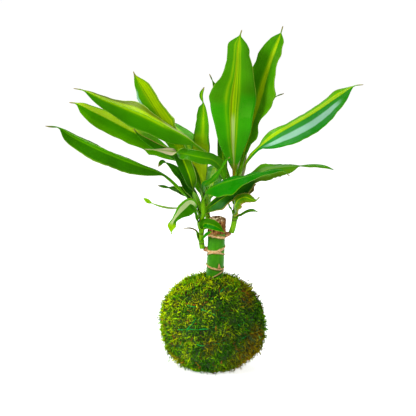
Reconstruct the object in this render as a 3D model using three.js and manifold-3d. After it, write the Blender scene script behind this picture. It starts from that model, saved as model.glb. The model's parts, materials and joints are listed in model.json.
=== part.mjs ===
// A kokedama: a corn plant (Dracaena fragrans) cane with three leafy shoots, rooted in a ball of soil
// that is wrapped in moss and bound with thread. Millimetres, +Z up, the origin at the middle of the
// flat spot that the ball rests on. The front, as seen in a picture, looks along +Y.
import * as THREE from 'three';
import Module from 'manifold-3d';
import { mergeVertices } from 'three/addons/utils/BufferGeometryUtils.js';

const wasm = await Module();
wasm.setup();

// Driving dimensions
const clearance = 0.3;                 // between solids that touch
const ball = { middle: new THREE.Vector3(0, 0, 65.5), radius: 68, mossThickness: 8, detail: 13 };
const soil = { detail: 4, foot: 8 };   // the soil's flat foot stands 8 mm above the table
const cane = {
  radius: 12, buried: 42, top: 205, cutRise: 2.6, buriedRadius: 12.4, sides: 15, rowHeight: 2.8,
};
const thread = { radius: 0.55, sides: 5, steps: 32, moatWidth: 4.5, moatSlope: 4 };
const stem = { footRadius: 3.4, topRadius: 2.3, sides: 8, budLength: 14 };
const blade = { edge: 0.8, rib: 1.3, across: 4, tipHalfWidth: 0.4 };
const sheath = { wrap: 0.95, length: 12, petioleHalfWidth: 2.9, petioleCurl: 1.0 };

const colours = {
  moss: 0x5f7d1c, soil: 0x3b2a1c, cane: 0x4d9a1e, stem: 0x7dba3c, leaf: 0x2f8f12, thread: 0x1c8a4a,
};
const material = (colour, roughness) => new THREE.MeshStandardMaterial({ color: colour, roughness });
const materials = {
  moss: material(colours.moss, 0.95),
  soil: material(colours.soil, 1),
  cane: material(colours.cane, 0.35),
  stem: material(colours.stem, 0.4),
  leaf: material(colours.leaf, 0.3),
  thread: material(colours.thread, 0.5),
};

// Small helpers
const { lerp, smoothstep } = THREE.MathUtils;
const vec = (x, y, z) => new THREE.Vector3(x, y, z);
const deg = THREE.MathUtils.degToRad;

function merged(geometry) {
  const bare = geometry.clone();
  bare.deleteAttribute('normal');
  bare.deleteAttribute('uv');
  return mergeVertices(bare, 1e-4);
}

function solidOf(geometry) {
  const shared = merged(geometry);
  return new wasm.Manifold(new wasm.Mesh({
    numProp: 3,
    vertProperties: new Float32Array(shared.attributes.position.array),
    triVerts: new Uint32Array(shared.index.array),
  }));
}

function geometryOf(solid) {
  const mesh = solid.getMesh();
  const geometry = new THREE.BufferGeometry();
  geometry.setAttribute('position', new THREE.BufferAttribute(mesh.vertProperties, 3));
  geometry.setIndex(new THREE.BufferAttribute(mesh.triVerts, 1));
  return geometry;
}

function eachVertex(geometry, move) {
  const positions = geometry.attributes.position;
  const point = new THREE.Vector3();
  for (let i = 0; i < positions.count; i++) {
    point.fromBufferAttribute(positions, i);
    move(point);
    positions.setXYZ(i, point.x, point.y, point.z);
  }
  return geometry;
}

// A steady random number from 0 to 1 for a direction, so that every run gives the same relief
function hash(d) {
  const wave = Math.sin(d.x * 127.1 + d.y * 311.7 + d.z * 74.7) * 43758.5453;
  return wave - Math.floor(wave);
}

// Ball: a rounded lump, fuller low down on both sides where the moss was folded under
const bulges = [
  { at: vec(0.1, 0, 1).normalize(), height: -5.5, spread: 0.12 },
  { at: vec(-0.6, 0, 0.8).normalize(), height: -3.4, spread: 0.05 },
  { at: vec(0.7, 0, 0.7).normalize(), height: -2.4, spread: 0.08 },
  { at: vec(-0.9, 0, 0.4).normalize(), height: 2.6, spread: 0.05 },
  { at: vec(-0.68, -0.1, -0.7).normalize(), height: 5.0, spread: 0.16 },
  { at: vec(0.92, 0.05, -0.36).normalize(), height: 4.4, spread: 0.08 },
  { at: vec(0.6, 0, -0.8).normalize(), height: 3.0, spread: 0.15 },
  { at: vec(0.1, 0.9, -0.3).normalize(), height: 2.6, spread: 0.3 },
];

function ballRadius(d) {
  const lumps = Math.sin(4.1 * d.x + 1.3) * Math.sin(3.7 * d.y + 0.4) * Math.sin(4.3 * d.z + 2.1);
  const raised = bulges.reduce((sum, b) => sum + b.height * Math.exp((d.dot(b.at) - 1) / b.spread), 0);
  return ball.radius + 0.8 * lumps + raised;
}

// Thread: closed turns round the ball, each in a plane through its middle
const turns = [
  { tilt: deg(8.9), heading: deg(134) },
  { tilt: deg(30.4), heading: deg(45) },
  { tilt: deg(14), heading: deg(-106) },
  { tilt: deg(59.5), heading: deg(150) },
].map(({ tilt, heading }) => ({
  normal: vec(Math.sin(tilt) * Math.cos(heading), Math.sin(tilt) * Math.sin(heading), Math.cos(tilt)),
}));

// The moss is pressed flat along each turn of the thread: 0 under it, 1 clear of it
function mossSink(d) {
  const away = Math.min(...turns.map((t) => Math.abs(d.dot(t.normal)) * ball.radius));
  return smoothstep(away, thread.moatWidth, thread.moatWidth + thread.moatSlope);
}

function threadTurn({ normal }) {
  const across = vec(0, 0, 1).cross(normal).normalize();
  const along = normal.clone().cross(across);
  const points = [];
  for (let i = 0; i < thread.steps; i++) {
    const angle = (i / thread.steps) * 2 * Math.PI;
    const d = across.clone().multiplyScalar(Math.cos(angle)).addScaledVector(along, Math.sin(angle));
    points.push(ball.middle.clone().addScaledVector(d, ballRadius(d) + thread.radius + clearance));
  }
  return ringTube(points, thread.radius, thread.sides);
}

// A closed tube through points that lie in a ring
function ringTube(points, radius, sides) {
  const count = points.length;
  const positions = [];
  const index = [];
  const middle = points.reduce((sum, p) => sum.add(p), vec(0, 0, 0)).divideScalar(count);
  points.forEach((p, i) => {
    const tangent = points[(i + 1) % count].clone().sub(points[(i + count - 1) % count]).normalize();
    const out = p.clone().sub(middle);
    out.addScaledVector(tangent, -out.dot(tangent)).normalize();
    const side = tangent.clone().cross(out);
    for (let j = 0; j < sides; j++) {
      const a = (j / sides) * 2 * Math.PI;
      const q = p.clone().addScaledVector(out, radius * Math.cos(a));
      q.addScaledVector(side, radius * Math.sin(a));
      positions.push(q.x, q.y, q.z);
      const next = ((i + 1) % count) * sides;
      const [k, k1] = [i * sides + j, i * sides + ((j + 1) % sides)];
      const [n, n1] = [next + j, next + ((j + 1) % sides)];
      index.push(k, n, k1, k1, n, n1);
    }
  });
  const geometry = new THREE.BufferGeometry();
  geometry.setAttribute('position', new THREE.Float32BufferAttribute(positions, 3));
  geometry.setIndex(index);
  const solid = solidOf(geometry);
  return solid.volume() > 0 ? solid : solidOf(flipped(geometry));
}

function flipped(geometry) {
  const index = geometry.index.array;
  for (let i = 0; i < index.length; i += 3) [index[i + 1], index[i + 2]] = [index[i + 2], index[i + 1]];
  return geometry;
}

function bindingThread() {
  return turns.map(threadTurn).reduce((all, turn) => all.add(turn));
}

// Soil and the plain hole in it that the cane stands in
function soilLump(grow) {
  const lump = new THREE.IcosahedronGeometry(1, soil.detail);
  const inner = ball.radius - ball.mossThickness;
  return eachVertex(lump, (p) => {
    const d = p.clone().normalize();
    p.copy(ball.middle).addScaledVector(d, inner * (1 + 0.015 * Math.sin(5 * d.x + 3 * d.y)) + grow);
    p.z = Math.max(p.z, soil.foot - grow);
  });
}

function caneHole() {
  const radius = cane.buriedRadius + clearance;
  const hole = new THREE.CylinderGeometry(radius, radius, 200, cane.sides).rotateX(Math.PI / 2);
  return solidOf(eachVertex(hole, (p) => {
    p.z += 100 + cane.buried - clearance;
    p.x += caneLean(p.z);
  }));
}

function soilBall() {
  return solidOf(soilLump(0)).subtract(caneHole());
}

// Moss: a shell round the soil, its outside raised in tufts, with a hole for the cane
function mossShell() {
  const outside = new THREE.IcosahedronGeometry(1, ball.detail);
  eachVertex(outside, (p) => {
    const d = p.clone().normalize();
    const tuft = lerp(-0.6, Math.max((hash(d) - 0.3) * 4.2, -0.9), mossSink(d));
    p.copy(ball.middle).addScaledVector(d, ballRadius(d) + tuft);
    p.z = Math.max(p.z, 0);
  });
  return solidOf(outside).subtract(solidOf(soilLump(clearance + 0.2))).subtract(caneHole());
}

// Cane: a cut length of green trunk with leaf-scar rings, a dry brown top and a nub below each shoot
const caneLean = (z) => 3.2 + (z - 133) * 0.04;

const scars = [
  { height: 128.9, slant: 6.4, heading: deg(-4), raise: 0.7 },
  { height: 141.4, slant: 3.1, heading: deg(140), raise: 1.0 },
  { height: 156.6, slant: 4.6, heading: deg(-90), raise: 0.6 },
  { height: 166.1, slant: 3.7, heading: deg(56), raise: 1.1 },
  { height: 182.2, slant: 2.4, heading: deg(-152), raise: 1.1 },
  { height: 194, slant: 1.0, heading: deg(60), raise: 0.7 },
];

function caneRadius(z, angle) {
  const bare = z < ball.middle.z + ball.radius - ball.mossThickness ? cane.buriedRadius : cane.radius;
  const rings = scars.reduce((sum, s) => {
    const away = z - (s.height + s.slant * Math.cos(angle - s.heading));
    return sum + s.raise * Math.exp(-(away * away) / 2.2);
  }, 0);
  const inMoss = smoothstep(z, 126, 131);
  const uneven = rings + 0.25 * Math.sin(3 * angle + z * 0.05);
  return lerp(bare, cane.radius - 0.25, inMoss) + uneven * inMoss;
}

function caneTrunk() {
  const rows = Math.round((cane.top - cane.buried) / cane.rowHeight);
  const profile = [new THREE.Vector2(0, cane.buried)];
  for (let i = 0; i <= rows; i++) {
    const z = lerp(cane.buried, cane.top, i / rows);
    if (z > 124 || i === 0) profile.push(new THREE.Vector2(cane.radius, z));
  }
  profile.push(new THREE.Vector2(cane.radius * 0.84, cane.top + 0.4), new THREE.Vector2(0, cane.top - 1.2));
  const trunk = new THREE.LatheGeometry(profile, cane.sides).rotateX(Math.PI / 2).scale(1, -1, 1);
  eachVertex(trunk, (p) => {
    const reach = Math.hypot(p.x, p.y);
    if (reach > 1) {
      const angle = Math.atan2(p.y, p.x);
      const radius = caneRadius(p.z, angle) * (reach / cane.radius);
      p.x = radius * Math.cos(angle);
      p.y = radius * Math.sin(angle);
    }
    p.x += caneLean(p.z);
    p.z += cane.cutRise * (p.y / cane.radius) * smoothstep(p.z, cane.top - 9, cane.top - 2);
  });
  return closedFacingOut(trunk);
}

function closedFacingOut(geometry) {
  const shared = merged(geometry);
  const solid = solidOf(shared);
  return solid.volume() > 0 ? solid : solidOf(flipped(shared));
}

// A short knob from the cane's side to just below a shoot's foot, and the dormant bud low on the front
function knob(from, to, radius) {
  const axis = to.clone().sub(from);
  const length = axis.length();
  const shape = new THREE.SphereGeometry(1, 10, 6);
  shape.scale(radius, length / 2 + radius * 0.35, radius);
  shape.applyQuaternion(new THREE.Quaternion().setFromUnitVectors(vec(0, 1, 0), axis.normalize()));
  const middle = from.clone().add(to).multiplyScalar(0.5);
  return solidOf(shape.translate(middle.x, middle.y, middle.z));
}

// Shoots: where each stem runs, from its foot beside the cane to its growing tip
const shoots = {
  left: {
    stem: [[-13.5, -3, 166], [-15, -4.5, 176], [-15, -5.5, 190], [-15, -6, 207], [-14, -6, 224],
      [-13.5, -6, 238]],
  },
  right: {
    stem: [[25, 0, 186.5], [28, 0, 196], [30, 1, 210], [31, 2, 228], [31.5, 3, 245], [31, 4, 262],
      [31, 4, 270]],
  },
  back: {
    stem: [[-5, 16, 199], [-7, 17.5, 208], [-8, 18, 221], [-10, 17, 235], [-11, 15, 248],
      [-11, 14, 256]],
  },
};

for (const shoot of Object.values(shoots)) {
  shoot.curve = new THREE.CatmullRomCurve3(shoot.stem.map((p) => vec(...p)));
  shoot.length = shoot.curve.getLength();
  shoot.radiusAt = (height) => lerp(stem.footRadius, stem.topRadius, height / shoot.length);
}

// Bends a lathe that was turned round the Z axis, so that its heights follow a curve
function alongCurve(lathe, curve, length) {
  return eachVertex(lathe, (p) => {
    const share = THREE.MathUtils.clamp(p.z / length, 0, 1);
    const tangent = curve.getTangentAt(share);
    const side = vec(0, 1, 0).cross(tangent).normalize();
    const front = tangent.clone().cross(side);
    const beyond = p.z - share * length;
    const { x, y } = p;
    p.copy(curve.getPointAt(share)).addScaledVector(tangent, beyond);
    p.addScaledVector(side, x).addScaledVector(front, y);
  });
}

function stemSolid(shoot) {
  const { length } = shoot;
  const budFoot = length - stem.budLength;
  const profile = [new THREE.Vector2(0, 0), new THREE.Vector2(stem.footRadius * 0.8, 0)];
  const rows = Math.round(budFoot / 6);
  for (let i = 1; i <= rows; i++) {
    const height = (budFoot * i) / rows;
    profile.push(new THREE.Vector2(shoot.radiusAt(height), height));
  }
  profile.push(new THREE.Vector2(stem.topRadius * 0.75, budFoot + stem.budLength * 0.5));
  profile.push(new THREE.Vector2(0, length));
  const turned = new THREE.LatheGeometry(profile, stem.sides).rotateX(Math.PI / 2).scale(1, -1, 1);
  return closedFacingOut(alongCurve(turned, shoot.curve, length));
}

// Leaves. For each: the shoot, the height of its node on the stem and the way its base heads from there,
// the points its midrib passes on the way to the tip, the way its upper side faces, its greatest width,
// the shares of its length where the blade begins and ends, how far its halves are folded up (down
// where negative) and curl on towards the margins, the ripples of its margins and its number of rows.
// lobes: [share of the length, side, how far the margin lifts, how far it reaches out, spread]
const leaves = {
  left_sprig: {
    shoot: 'left', node: 8.5, heading: 300, path: [[-8, -18, 187.5], [-1, -18.5, 192]],
    face: [-0.3, -0.7, 0.6], width: 5.5, begin: 0.35, fold: 15, rows: 7,
  },
  left_tiny: {
    shoot: 'left', node: 12, heading: 190, path: [[-22, -8, 190], [-28, -8, 193.5], [-39, -8, 194]],
    face: [0.3, -0.5, 0.8], width: 6.6, begin: 0, end: 0.5, fold: 30, rows: 9,
    outline: [0.9, 1, 0.9, 0.6, 0.3, 0.1, 0],
  },
  left_flap: {
    shoot: 'left', node: 22, heading: 290,
    path: [[-11, -15, 201], [1, -20, 200], [9, -21, 196], [16, -20, 190.5]], face: [0.3, -0.75, 0.6],
    width: 17, begin: 0.12, fold: 12, rows: 11, broadest: 0.45, fall: 2,
  },
  left_curl: {
    shoot: 'left', node: 27.5, heading: 219,
    path: [[-20.5, -15.5, 214.7], [-24.4, -20, 226.9], [-29.3, -23, 229.7], [-34.9, -25, 225.1],
      [-43.4, -27.5, 216.8], [-50.7, -29, 207.8], [-53.8, -30, 198.6], [-54.3, -30, 189.9]],
    face: [0, -1, 0.2], width: 19, begin: 0.06, end: 0.97, fold: 8, curl: -6, waves: 2, ripple: 1,
    rows: 14, outline: [0, 0.12, 0.22, 0.45, 0.8, 1, 0.92, 0.55, 0.32, 0.55, 0],
    lobes: [[0.3, 1, 0, -4.8, 0.12], [0.52, -1, 0, 2.6, 0.13], [0.12, -1, 0, -0.6, 0.1],
      [0.88, 1, 0, 1, 0.06], [0.27, -1, 0, -1.5, 0.06]],
  },
  left_ribbon: {
    shoot: 'left', node: 33, heading: 165,
    path: [[-24, -2, 216], [-35, -5, 223], [-48, -9, 221], [-63, -12, 223], [-80, -15, 229],
      [-91, -16, 236]],
    face: [0.1, 0.3, 0.95], width: 3.2, begin: 0.2, end: 0.86, tip: 2.6, fold: 20, rows: 14,
    twist: [120, 0.3, 0.85],
  },
  left_bow: {
    shoot: 'left', node: 35, heading: 265,
    path: [[-12.5, -17, 214], [-12.5, -23, 231], [-8, -31, 247], [4, -37, 256], [21, -41, 263],
      [38, -42, 267.5], [64, -41, 274], [90, -40, 277], [100, -40, 269]],
    face: [-0.1, -0.46, 0.88], width: 42, begin: 0.3, fold: -24, waves: 4, ripple: 1.2, rows: 18,
    outline: [0, 0.5, 0.85, 1, 0.97, 0.75, 0.5, 0.34, 0.26, 0.22, 0.2, 0.15, 0],
  },
  left_small: {
    shoot: 'left', node: 38, heading: 100,
    path: [[-20, 7, 225], [-33, 12, 237], [-46, 13, 242.5], [-61, 12, 246], [-73, 11, 248.5]],
    face: [0.15, -0.8, 0.55], width: 12, begin: 0.3, end: 0.82, tip: 1.6, fold: 12, waves: 2, ripple: 1,
    rows: 13,
  },
  left_reach: {
    shoot: 'left', node: 41, heading: 20,
    path: [[-8, -11, 219], [2, -16, 228], [14, -18, 237], [36, -16, 250.5], [60, -20, 269.5],
      [75, -22, 275.8], [92, -21, 278], [118, -19, 279.5], [134, -18, 279.5], [148, -17, 278],
      [159, -17, 274]],
    face: [-0.3, -0.7, 0.64], width: 28, begin: 0.05, end: 0.78, tip: 2.6, fold: -14, waves: 3.5,
    ripple: 1.6, rows: 20, outline: [0, 0.5, 0.85, 0.98, 0.98, 0.9, 0.82, 0.74, 0.6, 0.34, 0],
    lobes: [[0.56, 1, 0, 2.5, 0.08], [0.24, -1, 0, -4, 0.09], [0.27, 1, 0, -1.6, 0.05]],
  },
  left_long: {
    shoot: 'left', node: 43.5, heading: 205,
    path: [[-30.5, -15, 232], [-47, -20, 252.5], [-63, -27, 268.5], [-94, -38, 285], [-123, -46, 298],
      [-146, -52, 309], [-175, -55, 323], [-199, -55, 335], [-214, -54, 336]],
    face: [0, -0.47, 0.88], width: 38, begin: 0.32, end: 0.93, tip: 1.7, fold: -32, waves: 3,
    ripple: 0.5, rows: 17, broadest: 0.58, rise: 3.4, fall: 2.5,
    lobes: [[0.2, 1, 0, 1.4, 0.09], [0.2, -1, 0, 1.2, 0.09]],
  },
  left_dark: {
    shoot: 'left', node: 47, heading: 150,
    path: [[-22, 1, 231], [-31, 5, 244], [-39, 8, 256], [-48, 9, 268], [-59, 8, 278], [-67, 6, 281.5],
      [-72, 5, 275]],
    face: [0.55, -0.8, 0.25], width: 14, begin: 0.06, end: 0.86, tip: 2.6, fold: 10, waves: 2.5,
    ripple: 1.8, rows: 15,
  },
  left_strap: {
    shoot: 'left', node: 51, heading: 235,
    path: [[-21, -11, 232], [-26, -11, 246], [-31, -9, 266], [-46, -1, 300], [-67, 9, 336],
      [-80, 11, 358], [-93, 9, 380], [-101, 8, 394], [-104, 7, 401]],
    face: [0.25, -0.95, 0.1], width: 25, begin: 0.02, end: 0.98, fold: 10, curl: -10, waves: 3.5,
    ripple: 1.8, rows: 18, outline: [0, 0.42, 0.62, 0.7, 0.76, 0.85, 0.95, 1, 0.98, 0.8, 0],
    lobes: [[0.86, -1, 0, 3.5, 0.1]],
  },
  right_sprig: {
    shoot: 'right', node: 19, heading: 340,
    path: [[37, -5, 211], [45, -6, 216], [52, -7, 218], [60, -7, 216.5]], face: [-0.1, -0.7, 0.7],
    width: 5, begin: 0.5, fold: 12, rows: 10,
  },
  right_crook: {
    shoot: 'right', node: 23, heading: 272,
    path: [[30, -17, 218], [29.5, -30.5, 229], [34, -38.5, 238], [42, -40, 241.5], [50, -41, 239],
      [56, -42, 237.5], [61, -42, 242]],
    face: [-0.3, -0.8, 0.5], width: 17, begin: 0.1, fold: -18, waves: 3, ripple: 2.4, rows: 15,
    broadest: 0.6, rise: 2, fall: 2,
  },
  right_ragged: {
    shoot: 'right', node: 30, heading: 318,
    path: [[38, -8, 231], [43, -14, 240], [49, -16, 247], [57, -18, 255]], face: [-0.4, -0.85, 0.3],
    width: 11, begin: 0.2, fold: 12, waves: 3, ripple: 2, rows: 11, broadest: 0.6,
    lobes: [[0.85, 1, 0, 2, 0.05]],
  },
  right_low: {
    shoot: 'right', node: 26, heading: 205,
    path: [[22, -5, 222], [19, -4, 240], [16, -4, 258], [11, -7, 275], [-1, -15, 287],
      [-13, -21, 290.5], [-30, -24, 294.5], [-47, -24, 298], [-68, -21, 300.5], [-89, -16, 301]],
    face: [0.25, -0.85, 0.45], width: 17, begin: 0.3, fold: 4, waves: 2.5, ripple: 2, rows: 19,
    broadest: 0.45, lobes: [[0.4, 1, 2, 2, 0.06]], twist: [150, 0.68, 0.8],
  },
  right_left: {
    shoot: 'right', node: 39.5, heading: 200,
    path: [[24, 2, 250], [14, 3, 273], [2, 1, 285], [-22, -7, 306], [-34, -12, 316], [-56, -17, 329],
      [-94, -21, 349], [-139, -25, 367], [-170, -26, 380], [-180, -25, 381.5]],
    face: [0.1, -0.57, 0.8], width: 44, begin: 0.37, end: 0.95, fold: -27, waves: 2, ripple: 1.2,
    rows: 18, broadest: 0.45, rise: 3, fall: 2.2,
    lobes: [[0.69, 1, 8, 0, 0.06], [0.47, 1, 0, -7, 0.09], [0.92, 1, 0, 2.5, 0.04]],
  },
  right_out: {
    shoot: 'right', node: 43, heading: 300,
    path: [[35, 0, 256], [43, -3, 278], [50, -10, 291], [62, -16, 304], [88, -20, 324], [126, -27, 347],
      [164, -32, 373], [184, -33, 386], [194, -33, 387]],
    face: [-0.1, -0.6, 0.8], width: 46, begin: 0.36, end: 0.95, fold: -28, waves: 2.5, ripple: 1,
    rows: 18, broadest: 0.45, rise: 2.8, fall: 2.6,
    lobes: [[0.42, -1, 6, 0, 0.06], [0.86, -1, 6, 0, 0.05], [0.27, -1, 0, 1.6, 0.07],
      [0.16, 1, 0, 2, 0.12]],
  },
  right_rear: {
    shoot: 'right', node: 33, heading: 85,
    path: [[34, 24, 244], [29, 60, 285], [30, 100, 325], [30, 140, 345]], face: [0, -0.55, 0.83],
    width: 24, begin: 0.3, fold: -8, waves: 3, ripple: 2.2, rows: 13,
  },
  right_far: {
    shoot: 'right', node: 37, heading: 35,
    path: [[38, 22, 252], [42, 38, 284], [48, 50, 310], [59, 58, 335], [74, 61, 354], [86, 60, 363],
      [97, 58, 367.5]],
    face: [-0.55, -0.75, 0.3], width: 13, begin: 0.15, fold: 12, waves: 2.5, ripple: 2, rows: 14,
  },
  right_behind: {
    shoot: 'right', node: 45, heading: 113,
    path: [[20, 17, 262], [14, 25, 283], [14.5, 30, 299], [16, 36, 320], [12, 40, 347], [5, 40, 374],
      [-4, 36, 395.5]],
    face: [0.15, -0.95, 0.2], width: 20, begin: 0.25, fold: 14, waves: 2.5, ripple: 1.4, rows: 14,
  },
  right_hook: {
    shoot: 'right', node: 47, heading: 25,
    path: [[39, 17, 262], [43, 31, 290], [50, 40, 308], [58, 42, 327]], face: [-0.5, -0.7, 0.4],
    width: 13, begin: 0.2, fold: 12, waves: 2, ripple: 2, rows: 12, rise: 2, fall: 4,
  },
  right_back_tall: {
    shoot: 'right', node: 52, heading: 82,
    path: [[35, 12, 262], [40, 19, 281], [46, 27, 303], [56, 34, 338], [70, 42, 386], [80, 45, 416],
      [89, 45, 441], [94, 43, 459]],
    face: [-0.45, -0.88, 0.1], width: 46, begin: 0.22, end: 0.96, fold: 16, waves: 3, ripple: 2.4,
    rows: 18, broadest: 0.55, rise: 2, fall: 2.4,
    lobes: [[0.76, 1, 0, -6, 0.1], [0.42, 1, 0, -5, 0.06]],
  },
  right_tall: {
    shoot: 'right', node: 58.5, heading: 143,
    path: [[28.5, 11, 270], [27.5, 13, 296], [27, 16, 323], [28, 20, 356], [31.5, 22, 395],
      [34, 19, 430], [36, 16, 446], [38.5, 15, 455]],
    face: [0, -0.99, 0.1], width: 58, begin: 0.13, end: 0.965, fold: 10, waves: 2.5, ripple: 2.4,
    rows: 19, broadest: 0.46, rise: 1.7, fall: 2.3,
    lobes: [[0.73, -1, 0, -6, 0.07], [0.56, -1, 0, 2, 0.05], [0.9, -1, 0, 3.5, 0.04]],
  },
  back_rear: {
    shoot: 'back', node: 13, heading: 75, path: [[-3, 42, 236], [4, 85, 262], [12, 128, 256]],
    face: [0, -0.3, 0.95], width: 28, begin: 0.15, fold: -8, waves: 3, ripple: 2, rows: 12,
  },
  back_lean: {
    shoot: 'back', node: 18, heading: 125,
    path: [[-17, 34, 248], [-28, 60, 285], [-45, 82, 314], [-74, 100, 330]], face: [0.2, -0.6, 0.75],
    width: 34, begin: 0.12, fold: -8, waves: 3, ripple: 2.4, rows: 13,
  },
  back_twist: {
    shoot: 'back', node: 24, heading: 300,
    path: [[-10, 6, 240], [-11, -2, 251], [-6, -9, 255], [0, -14, 260], [8, -17.5, 270], [14, -19, 280],
      [18, -19, 287], [23, -18, 291]],
    face: [-0.5, -0.8, 0.4], width: 9, begin: 0.25, end: 0.8, tip: 1.2, fold: 14, waves: 2, ripple: 1.6,
    rows: 13, broadest: 0.4,
  },
  back_shade: {
    shoot: 'back', node: 26, heading: 218,
    path: [[-17, 8, 250], [-26, 11, 272], [-46, 8, 287], [-72, -1, 301], [-85, -4, 309.5],
      [-97, -4, 318], [-104, -3, 326.5]],
    face: [0.35, -0.85, 0.4], width: 11, begin: 0.3, end: 0.98, fold: 6, waves: 1, ripple: 0.6,
    rows: 12, fall: 2,
  },
  back_left: {
    shoot: 'back', node: 33, heading: 152,
    path: [[-20, 14, 254], [-32, 18, 272], [-50, 17, 286], [-85, 9, 310], [-122, 3, 330],
      [-155, 0, 347.5], [-180, -3, 360], [-188, -3, 361]],
    face: [0.1, -0.68, 0.7], width: 36, begin: 0.28, end: 0.96, fold: -17, waves: 2.5, ripple: 1,
    rows: 17, broadest: 0.5, rise: 2.6, fall: 2.6, lobes: [[0.92, 1, 0, 3, 0.04]],
  },
  back_upright: {
    shoot: 'back', node: 38.5, heading: 72,
    path: [[-13.5, 21, 252], [-16, 22, 275], [-14, 21, 308], [-13, 20, 335], [-12, 18, 356],
      [-15, 16, 369], [-11, 15, 380]],
    face: [-0.35, -0.93, 0.1], width: 23, begin: 0.05, end: 0.85, tip: 2.2, fold: 12, waves: 3,
    ripple: 2, rows: 15, broadest: 0.5, lobes: [[0.3, -1, 0, 1.5, 0.15], [0.3, 1, 0, 1.5, 0.15]],
  },
};

// Where a leaf runs: out of its node beside the stem, then through its own points
function midrib(leaf) {
  const shoot = shoots[leaf.shoot];
  const at = (height) => shoot.curve.getPointAt(Math.min(height / shoot.length, 1));
  const foot = at(leaf.node);
  const tangent = shoot.curve.getTangentAt(leaf.node / shoot.length);
  const reach = shoot.radiusAt(leaf.node) + clearance + blade.rib / 2 + 0.1;
  const out = vec(Math.cos(deg(leaf.heading)), Math.sin(deg(leaf.heading)), 0);
  out.addScaledVector(tangent, -out.dot(tangent)).normalize();
  const points = [foot.clone().addScaledVector(out, reach)];
  points.push(at(leaf.node + 5).addScaledVector(out, reach + 1.3));
  points.push(...leaf.path.map((p) => vec(...p)));
  return { curve: new THREE.CatmullRomCurve3(points), out, reach };
}

const bladeEnd = (leaf) => leaf.end ?? 0.94;

function bladeShare(leaf, s) {
  return THREE.MathUtils.clamp((s - leaf.begin) / (bladeEnd(leaf) - leaf.begin), 0, 1);
}

// How broad the blade is at a share q of it: from 0 at both of its ends to 1 where it is broadest
function bladeOutline(leaf, q) {
  if (leaf.outline) {
    const place = q * (leaf.outline.length - 1);
    const i = Math.min(Math.floor(place), leaf.outline.length - 2);
    return lerp(leaf.outline[i], leaf.outline[i + 1], place - i);
  }
  const { broadest = 0.5, rise = 2.6, fall = 2.4 } = leaf;
  if (q < broadest) return 1 - (1 - q / broadest) ** rise;
  return 1 - ((q - broadest) / (1 - broadest)) ** fall;
}

function halfWidth(leaf, s, length, reach) {
  const end = bladeEnd(leaf);
  const petiole = Math.min(sheath.petioleHalfWidth, leaf.width * 0.4);
  const wrapped = lerp(reach * sheath.wrap * 0.8, petiole, smoothstep(s * length, 0, sheath.length));
  const stalk = lerp(wrapped, blade.tipHalfWidth, smoothstep(s, leaf.begin, 1));
  const point = s > end ? (leaf.tip ?? 0.5) * Math.sin((Math.PI * (s - end)) / (1 - end)) : 0;
  return lerp(stalk, leaf.width / 2, bladeOutline(leaf, bladeShare(leaf, s))) + point;
}

// The leaf's own frame at a share s of its length: where it is, its side and its upper face
function frameAt(leaf, rib, s) {
  const tangent = rib.curve.getTangentAt(s);
  const toFace = smoothstep(s, 0, 0.3);
  const face = rib.out.clone().multiplyScalar(toFace - 1);
  face.addScaledVector(vec(...leaf.face).normalize(), toFace);
  face.addScaledVector(tangent, -face.dot(tangent)).normalize();
  if (leaf.twist) {
    const [angle, from, to] = leaf.twist;
    face.applyAxisAngle(tangent, deg(angle) * smoothstep(s, from, to));
  }
  return { middle: rib.curve.getPointAt(s), side: tangent.clone().cross(face), face };
}

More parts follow.
